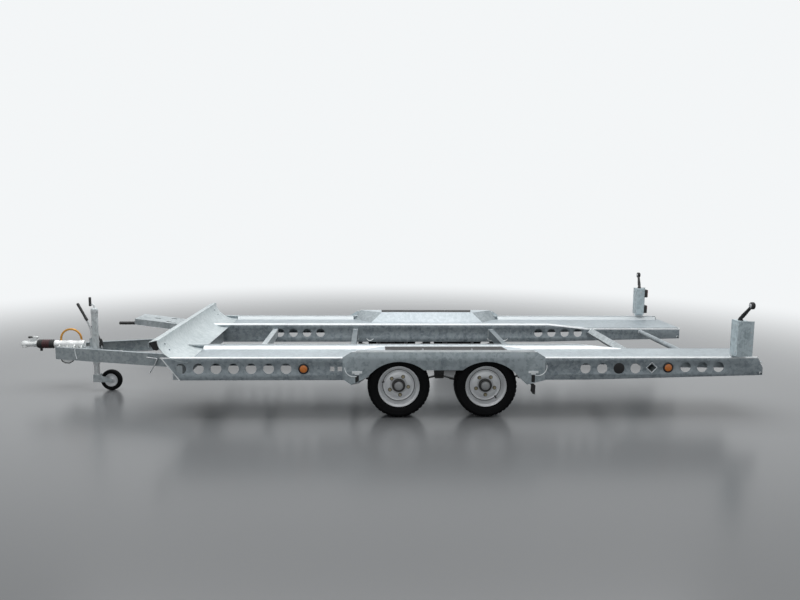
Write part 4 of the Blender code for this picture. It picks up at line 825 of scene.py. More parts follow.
def weld_loops():
    """Weld beads where the cross members, the rear tube and the ramp bar meet the rails."""
    beads = Shape()
    for node in ("front_cross_member", "front_axle_cross_member", "rear_axle_cross_member"):
        low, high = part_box(node)
        for y in (low[1] + 0.001, high[1] - 0.001):
            beads.bead(rect(low[0], low[2], high[0], high[2]), y, 0.0032)
    for side in (-1, 1):
        inner = side * (INNER_Y - 0.001)
        for y in (inner, side * (OUTER_Y + 0.001)):
            beads.bead(circle(TUBE_X, TUBE_Z, TUBE_HALF, 4), y, 0.003)
        beads.bead(circle(2.925, 0.44, 0.0245, 24), inner, 0.0028)
    beads.make("weld_beads", BRIGHT_ZINC_AND_HIGHLIGHT)


def rail_inserts(label, side):
    """A dark plate as painted shade in the rear holes, a painted highlight strip below it, a blind plug in
    the third hole, and a bright disc under a black disc at each rear end as a painted hole.
    """
    # Painted shade: a dark zinc plate across the top half of the rear holes
    back = Shape().box((2.615, side * 1.094, 0.43), (3.06, side * 1.098, 0.4805))
    back.make(f"{label}_rear_hole_shade_plate", WEB_ZINC)
    # Painted highlight: a bright strip below it, and bright discs at the rails' rear ends
    lip = Shape().box((2.615, side * 1.084, 0.4265), (3.06, side * 1.1045, 0.43))
    ends = ((3.332, side * OUTER_Y, side), (3.33, side * INNER_Y, -side))
    for x, y, out in ends:
        lip.rod((x, y, 0.392), (x, y + out * 0.0025, 0.392), 0.0105, 24)
    lip.make(f"{label}_rear_hole_highlights", BRIGHT_ZINC_AND_HIGHLIGHT)
    section = [(0.0, 0.004), (0.03, 0.0034), (0.0465, 0.0006), (0.0465, 0.0), (0.0428, -0.0002),
               (0.0428, -0.006), (0.0, -0.006)]
    plug = Shape().turned(facing(section, side), (2.116, side * OUTER_Y, HOLE_Z), "Y", 44)
    # Black discs on the bright ones: painted shade inside the holes at the rails' rear ends
    for x, y, out in ends:
        plug.rod((x + 0.003, y, 0.388), (x + 0.003, y + out * 0.0045, 0.388), 0.007, 18)
    plug.make(f"{label}_blind_plug_and_hole_shade", SOFT_RUBBER, angle=40)


weld_loops()
for label, side in SIDES:
    rail_inserts(label, side)


# Wheels and running gear

def tyre(label, end, side, x):
    """A low-profile tyre with ribs, shoulder blocks and ringed walls."""
    wall = [(RIM_RADIUS + 0.0005, 0.0745), (0.1805, 0.08), (0.1845, 0.0835), (0.1905, 0.0845),
            (0.1935, 0.088), (0.208, 0.093), (0.22, 0.095), (0.23, 0.0945), (0.232, 0.0957),
            (0.235, 0.0955), (0.237, 0.0935), (0.2475, 0.09), (0.254, 0.085), (0.258, 0.08),
            (0.2607, 0.074), (0.2622, 0.062)]
    tread = [(0.2627, 0.052), (0.2565, 0.051), (0.2565, 0.044), (0.2633, 0.043), (0.264, 0.02),
             (0.257, 0.019), (0.257, 0.011), (0.2644, 0.01)]
    count = len(wall + tread)
    blocks, ribs = range(12, 17), range(19, 21)

    def warp(i, step, radius):
        k = i if i < count else 2 * count - 1 - i
        if k in blocks and step % 4 == (0 if i < count else 2):
            return radius - 0.0055
        if k in ribs and step % 6 == (1 if i < count else 4):
            return radius - 0.004
        return radius

    shape = Shape().turned(both_ways(wall + tread), (x, side * WHEEL_Y, TYRE_RADIUS), "Y", 168, warp)
    body = f"{label}_{end}_wheel"
    shape.make(f"{label}_{end}_tyre_tread", TYRE_RUBBER, body, angle=50, stands_for=[f"{label}_{end}_tyre"])


def rim(label, end, side, x):
    """A pressed steel wheel with a stepped disc, five nuts, a black hub ring, painted shade round the nuts
    and in the step's groove, a cap and a valve.
    """
    centre = (x, side * WHEEL_Y, TYRE_RADIUS)
    body = f"{label}_{end}_wheel"
    section = [(0.052, 0.02), (0.066, 0.02), (0.07, 0.0235), (0.096, 0.0235), (0.101, 0.021),
               (0.112, 0.016), (0.12, 0.016), (0.1255, 0.0195), (0.1305, 0.0195), (0.1335, 0.0145),
               (0.1365, 0.0145), (0.1385, 0.022), (0.143, 0.036), (0.1485, 0.048), (0.155, 0.058),
               (0.16, 0.064), (0.165, 0.0675), (0.1685, 0.0725), (0.172, 0.0755), (0.1747, 0.075),
               (0.175, 0.071), (0.1738, 0.066), (0.1738, -0.066), (0.175, -0.071), (0.1747, -0.075),
               (0.172, -0.0755), (0.1685, -0.0725), (0.163, -0.066), (0.155, -0.03), (0.146, 0.0),
               (0.134, 0.008), (0.1, 0.012), (0.052, 0.012)]
    Shape().turned(facing(section, side), centre, "Y", 96).make(
        f"{label}_{end}_pressed_rim", RIM_PAINT, body, angle=32, stands_for=[f"{label}_{end}_rim"])
    cap = [(0.0, 0.056), (0.026, 0.056), (0.033, 0.054), (0.0365, 0.05), (0.038, 0.044), (0.038, 0.03),
           (0.0, 0.03)]
    Shape().turned(facing(cap, side), centre, "Y", 48).make(
        f"{label}_{end}_hub_cap", HUB_PAINT, body, angle=30)
    ring = [(0.0385, 0.01), (0.058, 0.01), (0.058, 0.032), (0.0555, 0.037), (0.048, 0.04), (0.0385, 0.038)]
    dark_hub_and_shade_rings = Shape().turned(facing(ring, side), centre, "Y", 48)
    # A black ring in the disc's step groove: painted shade in the crease
    dark_hub_and_shade_rings.turned(facing(rect(0.1332, 0.015, 0.1368, 0.016), side), centre, "Y", 96)
    nuts = Shape()
    out = Vector((0, side, 0))
    start = {"front": -9, "rear": -16}[end]
    for k in range(5):
        t = math.radians(start + 72 * k)
        at = Vector((x + NUT_CIRCLE * math.cos(t), side * (WHEEL_Y + 0.0235),
                     TYRE_RADIUS + NUT_CIRCLE * math.sin(t)))
        # A black disc under each nut: painted shade round the nut
        dark_hub_and_shade_rings.rod(at, at + out * 0.0012, 0.0165, 24)
        nuts.rod(at, at + out * 0.004, 0.014, 24, 0.0112)
        nuts.hexagon(at + out * 0.004, out, 0.0112, 0.014)
        nuts.rod(at + out * 0.018, at + out * 0.025, 0.0062, 16)
    dark_hub_and_shade_rings.make(f"{label}_{end}_hub_ring", BLACK_PAINT, body)
    nuts.make(f"{label}_{end}_wheel_nuts", NUT_GOLD, body, bevel=0.0006)
    t = math.radians({"front": 167, "rear": -49}[end])
    at = Vector((x + 0.128 * math.cos(t), side * (WHEEL_Y + 0.014), TYRE_RADIUS + 0.128 * math.sin(t)))
    tip = at + Vector((0.012 * math.cos(t), side * 0.034, 0.012 * math.sin(t)))
    valve = Shape().rod(at, at + (tip - at) * 0.6, 0.006, 16).rod(at + (tip - at) * 0.6, tip, 0.0045, 16)
    valve.make(f"{label}_{end}_valve", BLACK_PLASTIC, body)


def spring_line(centre, drop, share=1.0, steps=16):
    """A leaf's upper face: an arc that sags in the middle, cut to a share of the span."""
    points = []
    for i in range(2 * steps + 1):
        along = (i / steps - 1) * share
        points.append((centre + SPRING_REACH * along, EYE_Z - SPRING_SAG * (1 - along ** 2) - drop))
    return points


def leaf_springs(label, side):
    """Two packs of leaves with rolled eyes, hangers, U-bolts and the carrier under the deck."""
    y, pin_z = side * SPRING_Y, EYE_Z - 0.002
    near, far = side * (SPRING_Y - SPRING_HALF), side * (SPRING_Y + SPRING_HALF)
    work = Shape().prism(rect(-0.155, 0.4217, 1.423, 0.4817), near, far)
    for centre in AXLE_X:
        for i, share in enumerate((1.0, 0.8, 0.62, 0.44)):
            work.sheet(spring_line(centre, LEAF + LEAF_PITCH * i, share), LEAF, near, far)
        for eye in (centre - SPRING_REACH, centre + SPRING_REACH):
            work.turned(rect(0.008, -SPRING_HALF, 0.0155, SPRING_HALF), (eye, y, pin_z), "Y", 28)
            work.rod((eye, y - side * 0.036, pin_z), (eye, y + side * 0.036, pin_z), 0.008, 20)
            for end in (-1, 1):
                work.hexagon((eye, y + end * 0.0305, pin_z), (0, end, 0), 0.0135, 0.009)
        low = EYE_Z - SPRING_SAG - 0.0335
        work.box((centre - 0.045, y - 0.038, low - 0.008), (centre + 0.045, y + 0.038, low))
        for x in (centre - 0.032, centre + 0.032):
            for leg in (y - 0.029, y + 0.029):
                work.rod((x, leg, low - 0.024), (x, leg, 0.3), 0.0055, 14)
                work.hexagon((x, leg, low - 0.018), (0, 0, 1), 0.0105, 0.01)
            bend = [(x, y + 0.029 * math.cos(t), 0.3 + 0.02 * math.sin(t))
                    for t in (math.radians(180 * i / 8) for i in range(9))]
            work.pipe(bend, 0.0055, 12)
        work.turned(rect(0.1245, -0.019, 0.131, -0.013), (centre, side * 0.862, TYRE_RADIUS), "Y", 48)
    for first, last in ((-0.085, -0.085), (0.615, 0.653), (1.353, 1.353)):
        hanger = [(first - 0.036, 0.456), (first - 0.019, 0.262), (last + 0.019, 0.262),
                  (last + 0.036, 0.456)]
        for cheek in (y - side * 0.0265, y + side * 0.0265):
            work.prism(hanger, cheek - 0.0035, cheek + 0.0035)
    work.make(f"{label}_leaf_springs", BLACK_PAINT, bevel=0.0008, stands_for=[f"{label}_springs"])


for label, side in SIDES:
    for end, x in zip(("front", "rear"), AXLE_X):
        tyre(label, end, side, x)
        rim(label, end, side, x)
    leaf_springs(label, side)
for node in ("front_axle", "rear_axle"):
    keep(node, BLACK_PAINT, 0.0015)


# Drawbar, coupling and hand brake

def drawbar_y(x):
    """How far from the middle a drawbar rail's outer face lies at that x."""
    return 0.105 + (x - DRAWBAR_FRONT_X) * DRAWBAR_SLOPE


def drawbar_details():
    """Weld beads, bolts, cable guides, and below them the overrun lever, the brake rod and its yoke."""
    beads = Shape()
    for side in (-1, 1):
        x0, x1 = DRAWBAR_FRONT_X + 0.004, PLATE_REAR_X
        seam = [(x, side * (drawbar_y(x) - 0.0058), PLATE_TOP + 0.0015) for x in (x0, (x0 + x1) / 2, x1)]
        beads.pipe(seam, 0.0035, 8)
        x, y = -1.6018, side * 0.52
        loop = [(x, y, DRAWBAR_BOTTOM + 0.05), (x, y, DRAWBAR_TOP), (x, y - side * 0.038, DRAWBAR_TOP)]
        beads.pipe(loop, 0.0035, 8)
    beads.make("drawbar_weld_beads", BRIGHT_ZINC_AND_HIGHLIGHT)
    work = Shape()
    for side in (-1, 1):
        for x in (-2.7, PLATE_REAR_X - 0.012):
            work.bolt((x, side * (drawbar_y(x) - 0.045), PLATE_TOP), (0, 0, 1), 0.01)
    for x in (-2.3, -1.95):
        y = -drawbar_y(x)
        work.box((x - 0.012, y + 0.006, DRAWBAR_TOP), (x + 0.012, y + 0.034, DRAWBAR_TOP + 0.0025))
        work.bolt((x, y + 0.02, DRAWBAR_TOP + 0.0025), (0, 0, 1), 0.006)
    work.make("drawbar_bolts", BOLT_ZINC, bevel=0.0006)
    lever, rims = Shape(), Shape()
    cheek = [(-2.948, 0.3655), (-2.948, 0.3), (-2.93, 0.268), (-2.905, 0.252), (-2.865, 0.25),
             (-2.832, 0.268), (-2.815, 0.3), (-2.81, 0.3655)]
    for y in (-0.09, 0.085):
        lever.prism(cheek, y, y + 0.005)
        rims.pipe(at_y(cheek[1:-1], y + 0.0025), 0.0055, 10)
    rims.make("overrun_lever_rims", BLACK_PAINT)
    lever.pipe([(-2.88, -0.1, 0.285), (-2.88, 0.1, 0.285)], 0.011, 18)
    bar = [(-2.888, 0.285), (-2.87, 0.36), (-2.85, 0.36), (-2.862, 0.272)]
    lever.prism(bar, -0.018, 0.018)
    lever.make("overrun_lever", CAST_ZINC, bevel=0.0012)
    rod = Shape().rod((-2.872, 0.0, ROD_Z), (-0.11, 0.0, ROD_Z), 0.0055, 14)
    rod.rod((-2.56, 0.0, ROD_Z), (-2.5, 0.0, ROD_Z), 0.0095, 6)
    rod.make("brake_rod", BOLT_ZINC)
    yoke = Shape().box((-0.125, -0.075, ROD_Z - 0.003), (-0.105, 0.075, ROD_Z + 0.003))
    yoke.rod((-0.104, 0.0, ROD_Z), (-0.085, 0.0, ROD_Z), 0.011, 6)
    for y in (-0.062, 0.062):
        yoke.pipe([(-0.104, y, ROD_Z), (0.06, y * 1.2, 0.3), (0.19, y * 1.6, 0.279)], 0.0055, 10)
    yoke.make("brake_cable_yoke", BLACK_PAINT)


def housing():
    """The cast overrun housing: a collared barrel on a ribbed foot, bolted down through four bosses."""
    z = COUPLING_Z
    foot_top, boss_top = 0.3855, 0.3925
    bosses = [(x, y) for x in (-2.945, -2.8) for y in (-0.052, 0.052)]
    section = [(0.0, 0.0), (0.033, 0.0), (0.0358, 0.003), (0.0358, 0.03), (0.0345, 0.034), (0.033, 0.04),
               (0.033, 0.118), (0.0352, 0.124), (0.0358, 0.13), (0.0358, 0.158), (0.035, 0.163),
               (0.0325, 0.17), (0.032, 0.228), (0.0345, 0.234), (0.0358, 0.24), (0.0358, 0.276),
               (0.033, 0.284), (0.0, 0.285)]
    work = Shape().turned(section, (-3.03, 0, z), "X", 64)
    work.box((-2.985, -0.065, 0.3743), (-2.759, 0.065, 0.3863))
    rib = [(-0.062, foot_top), (0.062, foot_top), (0.03, 0.425), (-0.03, 0.425)]
    for x in (-2.978, -2.905, -2.838, -2.767):
        work.prism(rib, x, x + 0.008, "X")
    for x, y in bosses:
        work.rod((x, y, foot_top), (x, y, boss_top), 0.0155, 28, 0.014)
    work.make("cast_overrun_housing", CAST_ZINC, bevel=0.0016, angle=42, stands_for=["overrun_housing"])
    bolts = Shape()
    for x, y in bosses:
        bolts.bolt((x, y, boss_top), (0, 0, 1), 0.0115)
    for x in (-2.985, -2.78):
        bolts.rod((x, 0, z + 0.0355), (x, 0, z + 0.0425), 0.0045, 12, 0.004)
        bolts.ball((x, 0, z + 0.044), 0.0034, (12, 10))
    bolts.make("housing_bolts", BOLT_ZINC, bevel=0.0005)


def bellows():
    """Folded rubber between the housing and the coupling head, with two clips and a plug below."""
    folds, cuff = 8, 0.006
    start, end = -3.19, -3.0303
    length = end - start
    pitch = (length - 2 * cuff) / folds
    fold = ((0.0345, 0.06), (0.04, 0.26), (0.0434, 0.42), (0.0438, 0.52), (0.0428, 0.64), (0.039, 0.82))
    section = [(0.026, 0.0), (0.036, 0.0), (0.0368, 0.003), (0.036, cuff)]
    for i in range(folds):
        section += [(radius, cuff + pitch * (i + share)) for radius, share in fold]
    section += [(0.0345, length - cuff), (0.0372, length - 0.004), (0.0372, length), (0.026, length)]
    finish = folded_rubber("bellows_rubber", start, end)
    work = Shape().turned(section, (start, 0, COUPLING_Z), "X", 56)
    work.make("folded_bellows", finish, angle=60, stands_for=["coupling_bellows"])
    clips = Shape()
    for x in (start + 0.0008, end - 0.0052):
        clips.turned(rect(0.0362, 0, 0.0378, 0.004), (x, 0, COUPLING_Z), "X", 48)
    plug = [(0.0, 0.352), (0.0105, 0.352), (0.0125, 0.356), (0.0125, 0.384), (0.0, 0.384)]
    clips.turned(plug, (-3.161, 0, 0), "Z", 24)
    clips.make("bellows_clips", BLACK_PLASTIC)


def coupling():
    """The pressed coupling head: a cup over the ball, its neck, its collar and the lever above."""
    z = COUPLING_Z
    cup_x = -3.3128
    section = [(0.0, -0.036), (0.01, -0.0345), (0.02, -0.0295), (0.028, -0.021), (0.031, -0.011),
               (0.0316, 0.0), (0.0312, 0.012), (0.029, 0.026), (0.0268, 0.04), (0.0262, 0.07), (0.0262, 0.08),
               (0.03, 0.083), (0.0308, 0.086), (0.0308, 0.118), (0.025, 0.1222), (0.0, 0.1222)]
    work = Shape().turned(section, (cup_x, 0, z), "X", 56)
    skirt = [(0.0222, 0.0), (0.03, 0.0), (0.0315, 0.006), (0.0305, 0.024), (0.0222, 0.024)]
    work.turned(skirt, (cup_x, 0, z - 0.0305), "Z", 48)
    work.box((cup_x + 0.018, -0.012, z + 0.02), (cup_x + 0.086, 0.012, z + 0.0308))
    work.turned(rect(0.0, 0.0, 0.0245, 0.159), (-3.1896, 0, z), "X", 40)
    work.make("pressed_coupling_head", CAST_ZINC, bevel=0.001, angle=40, stands_for=["coupling_head"])
    bolts = Shape()
    for x in (cup_x + 0.094, cup_x + 0.11):
        bolts.rod((x, -0.036, z), (x, 0.036, z), 0.005, 14)
        for side in (-1, 1):
            bolts.hexagon((x, side * 0.031, z), (0, side, 0), 0.0088, 0.006)
    bolts.make("coupling_cross_bolts", BOLT_ZINC, bevel=0.0005)
    outline = [(-3.262, 0.4516), (-3.222, 0.4516), (-3.206, 0.46), (-3.196, 0.473), (-3.186, 0.479),
               (-3.18, 0.49), (-3.2, 0.4948), (-3.236, 0.4948), (-3.256, 0.482)]
    lever = Shape().prism(outline, -0.01, 0.01)
    lever.make("coupling_lever", CAST_ZINC, bevel=0.0022, stands_for=["coupling_handle"])
    sleeve = [(0.0, 0.0), (0.008, 0.0), (0.0108, 0.004), (0.011, 0.012), (0.01, 0.02), (0.011, 0.028),
              (0.011, 0.036), (0.0108, 0.046), (0.0, 0.046)]
    Shape().turned(sleeve, (-3.279, 0, 0.4843), "X", 32).make("coupling_grip", BLACK_PLASTIC, angle=50)


def hoop():
    """The yellow hoop over the housing: a half circle on two straight legs."""
    foot, shoulder = 0.3886, 0.4585
    path = [(-2.795, foot), (-2.795, shoulder)] + arc((-2.8925, shoulder), 0.0975, 4, 176, 26)
    path += [(-2.99, shoulder), (-2.99, foot)]
    Shape().pipe(at_y(path, 0.049), 0.0098, 20).make(
        "yellow_spring_hoop", YELLOW_ZINC, stands_for=["yellow_hoop"])


def brake():
    """The hand brake: a bent lever in a toothed quadrant, a black grip, a gas strut and a foot below."""
    y = BRAKE_Y
    base = PLATE_TOP + 0.0003
    pivot_x, pivot_z = -2.6905, 0.404
    strip = [(-2.705, base), (-2.675, base), (-2.708, 0.56), (-2.74, 0.64), (-2.764, 0.67),
             (-2.777, 0.658), (-2.754, 0.629), (-2.725, 0.555)]
    lever = Shape().prism(strip, y - 0.005, y + 0.005)
    lever.rod((pivot_x, y - 0.013, pivot_z), (pivot_x, y + 0.013, pivot_z), 0.0115, 24)
    for side in (-1, 1):
        lever.hexagon((pivot_x, y + side * 0.0128, pivot_z), (0, side, 0), 0.0105, 0.005)
    lever.make("hand_brake_lever", BOLT_ZINC, bevel=0.001, stands_for=["brake_lever"])
    foot, head = Vector((-2.744, y, 0.635)), Vector((-2.832, y, 0.806))
    axis = head - foot
    across = Vector((axis.z, 0, -axis.x)).normalized()
    stations = [(0.0, 0.011), (0.05, 0.014), (0.12, 0.0128), (0.3, 0.0132), (0.36, 0.0122), (0.5, 0.0134),
                (0.56, 0.0124), (0.7, 0.0136), (0.76, 0.0126), (0.92, 0.0142), (0.98, 0.012), (1.0, 0.008)]
    turns = [2 * math.pi * k / 28 for k in range(28)]
    ways = [math.cos(t) * across + math.sin(t) * Vector((0, 1, 0)) for t in turns]
    rings = [[foot + axis * share + radius * way for way in ways] for share, radius in stations]
    Shape().skin(rings).make("hand_brake_grip", BLACK_PLASTIC, angle=50)
    teeth = []
    for i in range(29):
        t = math.radians(62 + 66 * i / 28)
        size = 0.06 if i % 2 else 0.0665
        teeth.append((pivot_x + size * math.cos(t), pivot_z + size * math.sin(t)))
    outline = [(-2.655, base), (-2.655, pivot_z)] + teeth + [(-2.727, pivot_z), (-2.727, base)]
    quadrant = Shape()
    for side in (-1, 1):
        quadrant.prism(outline, y + side * 0.0068, y + side * 0.01)
    quadrant.make("brake_quadrant", BAR_ZINC, bevel=0.0004)
    low, middle, high = at_y([(-2.622, 0.4), (-2.66, 0.505), (-2.708, 0.575)], y + 0.016)
    strut = Shape().rod(low, middle, 0.0095, 20).rod(middle, high, 0.0048, 14)
    strut.rod((-2.708, y + 0.002, 0.575), (-2.708, y + 0.022, 0.575), 0.0065, 14)
    strut.rod((-2.622, y - 0.004, 0.4), (-2.622, y + 0.024, 0.4), 0.007, 14)
    strut.box((-2.655, y - 0.003, 0.376), (-2.6, y + 0.001, 0.398))
    tab = [(-2.64, 0.397), (-2.604, 0.397), (-2.606, 0.44), (-2.618, 0.458), (-2.634, 0.44)]
    strut.prism(tab, y - 0.003, y + 0.001)
    strut.make("brake_gas_strut", BLACK_PAINT)
    foot = Shape()
    cheek = [(-2.748, 0.366), (-2.748, 0.285), (-2.7, 0.248), (-2.645, 0.262), (-2.64, 0.3), (-2.66, 0.366)]
    for start in (0.06, 0.104):
        foot.prism(cheek, start, start + 0.004)
    foot.rod((-2.694, 0.056, 0.28), (-2.694, 0.112, 0.28), 0.008, 16)
    foot.make("brake_lever_foot", BLACK_PAINT, bevel=0.0008)


def bracket():
    """The slotted carrier's ribbed grip, lips and bolts, and the hook and clip on the drawbar beside it."""
    keep("front_bracket", BAR_ZINC, 0.0012)
    sleeve = [(0.0, 0.0), (0.0125, 0.0), (0.0155, 0.003)]
    for i in range(12):
        at = 0.008 + i * 0.0118
        sleeve += [(0.0166, at), (0.0166, at + 0.007), (0.0152, at + 0.0085), (0.0152, at + 0.0105)]
    sleeve += [(0.0178, 0.152), (0.0178, 0.16), (0.0, 0.16)]
    grip = Shape().turned(sleeve, (-2.6205, 0.631, 0.522), "X", 36)
    grip.make("bracket_grip", BLACK_PLASTIC, angle=35)
    lips = Shape()
    front, rear = (-2.45, 0.507), (-1.6003, 0.3975)
    lip = [front, rear, (rear[0], rear[1] + 0.004), (front[0], front[1] + 0.004)]
    for y in (0.6046, 0.9524):
        lips.prism(lip, y, y + 0.003)
    lips.make("bracket_lips", BRIGHT_ZINC_AND_HIGHLIGHT)
    studs = Shape()
    for y in (0.68, 0.88):
        studs.bolt((-2.4505, y, 0.54), (-1, 0, 0), 0.009)
    for x in (-2.05, -1.75):
        top = 0.572 + (x - front[0]) / (rear[0] - front[0]) * (rear[1] - front[1])
        for y in (0.65, 0.91):
            studs.bolt((x, y, top), (0.1278, 0, 0.9918), 0.008)
    studs.make("bracket_bolts", BOLT_ZINC, bevel=0.0005)
    hook = [(-2.03, -0.425, 0.376), (-1.945, -0.425, 0.364), (-1.935, -0.432, 0.352), (-1.965, -0.437, 0.29),
            (-1.99, -0.437, 0.25), (-1.998, -0.437, 0.232)]
    Shape().pipe(smooth_path(hook, 5), 0.0055, 14).make("drawbar_side_hook", BOLT_ZINC)
    clip = [(-2.776, -0.1695, 0.402), (-2.772, -0.1735, 0.36), (-2.757, -0.178, 0.306)]
    Shape().pipe(clip, 0.004, 10).make("drawbar_rail_clip", BRIGHT_ZINC_AND_HIGHLIGHT)


# Jockey wheel

def jockey():
    """The outer tube's bands, crank, clamp screw and safety rod, and the wheel's tyre, rim and nuts."""
    x, y = JOCKEY_X, JOCKEY_Y
    keep("jockey_clamp", DRAWBAR_ZINC, 0.0012)
    wall = [(0.0268, 0.255), (0.03, 0.255), (0.03, 0.7), (0.03, 0.783), (0.029, 0.7875), (0.0262, 0.79),
            (0.0, 0.79), (0.0, 0.73), (0.0268, 0.73)]
    tube = Shape().turned(wall, (x, y, 0), "Z", 56)
    crank = at_y([(x, 0.785), (x, 0.808), (x - 0.01, 0.8255), (x - 0.026, 0.8255), (x - 0.0355, 0.838),
                  (x - 0.036, 0.895)], y)
    tube.pipe(smooth_path(crank, 6), 0.0062, 16)
    tube.make("jockey_outer_tube", TUBE_ZINC, angle=40, stands_for=["jockey_tube"])
    sleeve = [(0.0, 0.0), (0.01, 0.0), (0.0122, 0.004), (0.0122, 0.046), (0.0114, 0.05), (0.0122, 0.054),
              (0.0122, 0.08), (0.009, 0.085), (0.0, 0.085)]
    Shape().turned(sleeve, (x - 0.036, y, 0.811), "Z", 28).make("crank_sleeve", BLACK_PLASTIC, angle=40)
    bands = Shape()
    collar = [(0.0298, 0.742), (0.033, 0.742), (0.0335, 0.746), (0.0335, 0.774), (0.033, 0.778),
              (0.0298, 0.778)]
    for section in (collar, rect(0.0298, 0.715, 0.0312, 0.728), rect(0.0298, 0.258, 0.0312, 0.266)):
        bands.turned(section, (x, y, 0), "Z", 48)
    bands.make("jockey_tube_bands", BOLT_ZINC)
    screw = Shape().rod((x + 0.03, y, 0.378), (x + 0.062, y, 0.378), 0.0062, 16)
    screw.rod((x + 0.036, y, 0.378), (x + 0.044, y, 0.378), 0.0125, 6)
    handle = [(x + 0.058, y - 0.002, 0.345), (x + 0.058, y, 0.378), (x + 0.052, y + 0.004, 0.43)]
    screw.pipe(handle, 0.0052, 14)
    screw.make("clamp_screw", BOLT_ZINC)
    wire = [(x + 0.01, y - 0.031, 0.697), (x + 0.014, y - 0.033, 0.64), (x + 0.03, y - 0.032, 0.5),
            (x + 0.037, y - 0.031, 0.457)]
    Shape().pipe(smooth_path(wire, 4), 0.0028, 10).make("jockey_safety_rod", BOLT_ZINC)
    keep("jockey_stem", BOLT_ZINC)
    keep("jockey_fork", BAR_ZINC, 0.001)
    tread = [(0.0625, 0.02), (0.07, 0.0235), (0.08, 0.0248), (0.088, 0.0245), (0.093, 0.0225),
             (0.0965, 0.0185), (0.0988, 0.0125), (0.0998, 0.006)]
    Shape().turned(both_ways(tread), JOCKEY_AXLE, "Y", 88).make(
        "jockey_solid_tyre", TYRE_RUBBER, "jockey_wheel", angle=40, stands_for=["jockey_tyre"])
    hub = [(0.0085, 0.0245), (0.02, 0.0245), (0.0235, 0.022), (0.025, 0.01), (0.04, 0.007), (0.05, 0.0095),
           (0.054, 0.017), (0.06, 0.0205), (0.0617, 0.02)]
    Shape().turned(both_ways(hub), JOCKEY_AXLE, "Y", 72).make(
        "jockey_dished_rim", RIM_PAINT, "jockey_wheel", angle=34, stands_for=["jockey_rim"])
    nuts = Shape()
    for side in (-1, 1):
        nuts.hexagon((JOCKEY_AXLE[0], JOCKEY_Y + side * 0.0378, JOCKEY_AXLE[2]), (0, side, 0), 0.0115, 0.0062)
    nuts.make("jockey_axle_nuts", BOLT_ZINC, "jockey_yoke")


# Lamp posts and lamps

def post(label, side):
    """The folding post's front cover, ribs, bolts and lock pin."""
    body = f"{label}_lamp_post_body"
    keep(f"{label}_lamp_post", POST_ZINC, 0.0014)
    cover = Shape().box((3.0765, side * 1.1133, 0.5503), (3.0795, side * 1.2267, 0.8417))
    cover.make(f"{label}_post_cover", POST_ZINC, body, bevel=0.0008)
    work = Shape()
    for z in (0.585, 0.808):
        work.bolt((3.0764, side * 1.2, z), (-1, 0, 0), 0.006)
    outside = side * 1.2302
    for z in (0.64, 0.75):
        work.bolt((3.186, outside, z), (0, side, 0), 0.006)
    work.bolt((POST_X, side * 1.1098, 0.8), (0, -side, 0), 0.008)
    pin_y, pin_z = side * 1.15, 0.5393
    work.rod((3.09, pin_y, pin_z), (3.066, pin_y, pin_z), 0.0062, 16)
    work.pipe([(3.0665, pin_y, pin_z), (3.062, side * 1.158, 0.545), (3.062, side * 1.158, 0.575)], 0.003, 10)
    work.make(f"{label}_post_bolts", BOLT_ZINC, body, bevel=0.0005)
    ribs = Shape()
    rib = ((0.0012, 0.615), (0.0004, 0.622), (0.0004, 0.768), (0.0012, 0.775))
    for x in (3.098, 3.138):
        ribs.pipe([(x, outside - side * sunk, z) for sunk, z in rib], 0.003, 10)
    ribs.make(f"{label}_post_ribs", POST_ZINC, body)


def rear_lamp(label):
    """A plate with two black housings, each with an upper and a lower lens."""
    body = f"{label}_lamp_post_body"
    (x0, y0, z0), (x1, y1, z1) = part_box(f"{label}_rear_lamp")
    y_mid, z_mid = (y0 + y1) / 2, (z0 + z1) / 2
    face, height = x0 + 0.0035, 0.0891
    plate = Shape().box((x0, y0, z0), (face, y1, z1))
    plate.make(f"{label}_lamp_plate", POST_ZINC, body, bevel=0.001, stands_for=[f"{label}_rear_lamp"])
    shell, bolts = Shape(), Shape()
    for place, foot, tone in (("foot", z0, CLEAR_LENS), ("top", z1 - height, AMBER_LENS)):
        middle = foot + height / 2
        shell.box((face, y0 + 0.001, foot + 0.001), (x1 - 0.006, y1 - 0.001, foot + height - 0.001))
        shell.box((x0 + 0.0036, y0 + 0.012, middle - 0.0022), (x1 - 0.004, y1 - 0.012, middle + 0.0022))
        for end, low, glass in (("lower", foot + 0.0035, tone), ("upper", middle + 0.0025, RED_LENS)):
            high = low + height / 2 - 0.006
            block = Shape().box((x1 - 0.0064, y0 + 0.006, low), (x1 - 0.0005, y1 - 0.006, high))
            block.make(f"{label}_{place}_{end}_lens", glass, body, bevel=0.0035)
        for y in (y0 + 0.008, y1 - 0.008):
            bolts.rod((x1 - 0.004, y, middle), (x1 - 0.0015, y, middle), 0.003, 12)
    for z in (z_mid - 0.025, z_mid + 0.025):
        bolts.bolt((face, y_mid, z), (1, 0, 0), 0.008)
    cable = [(x0 + 0.006, y_mid + 0.02, z0 + height), (x0 + 0.014, y_mid + 0.024, z_mid),
             (x0 + 0.006, y_mid + 0.02, z1 - height)]
    shell.pipe(smooth_path(cable, 6), 0.0032, 10)
    shell.make(f"{label}_lamp_housings", BLACK_PLASTIC, body, bevel=0.002)
    bolts.make(f"{label}_lamp_screws", BOLT_ZINC, body)


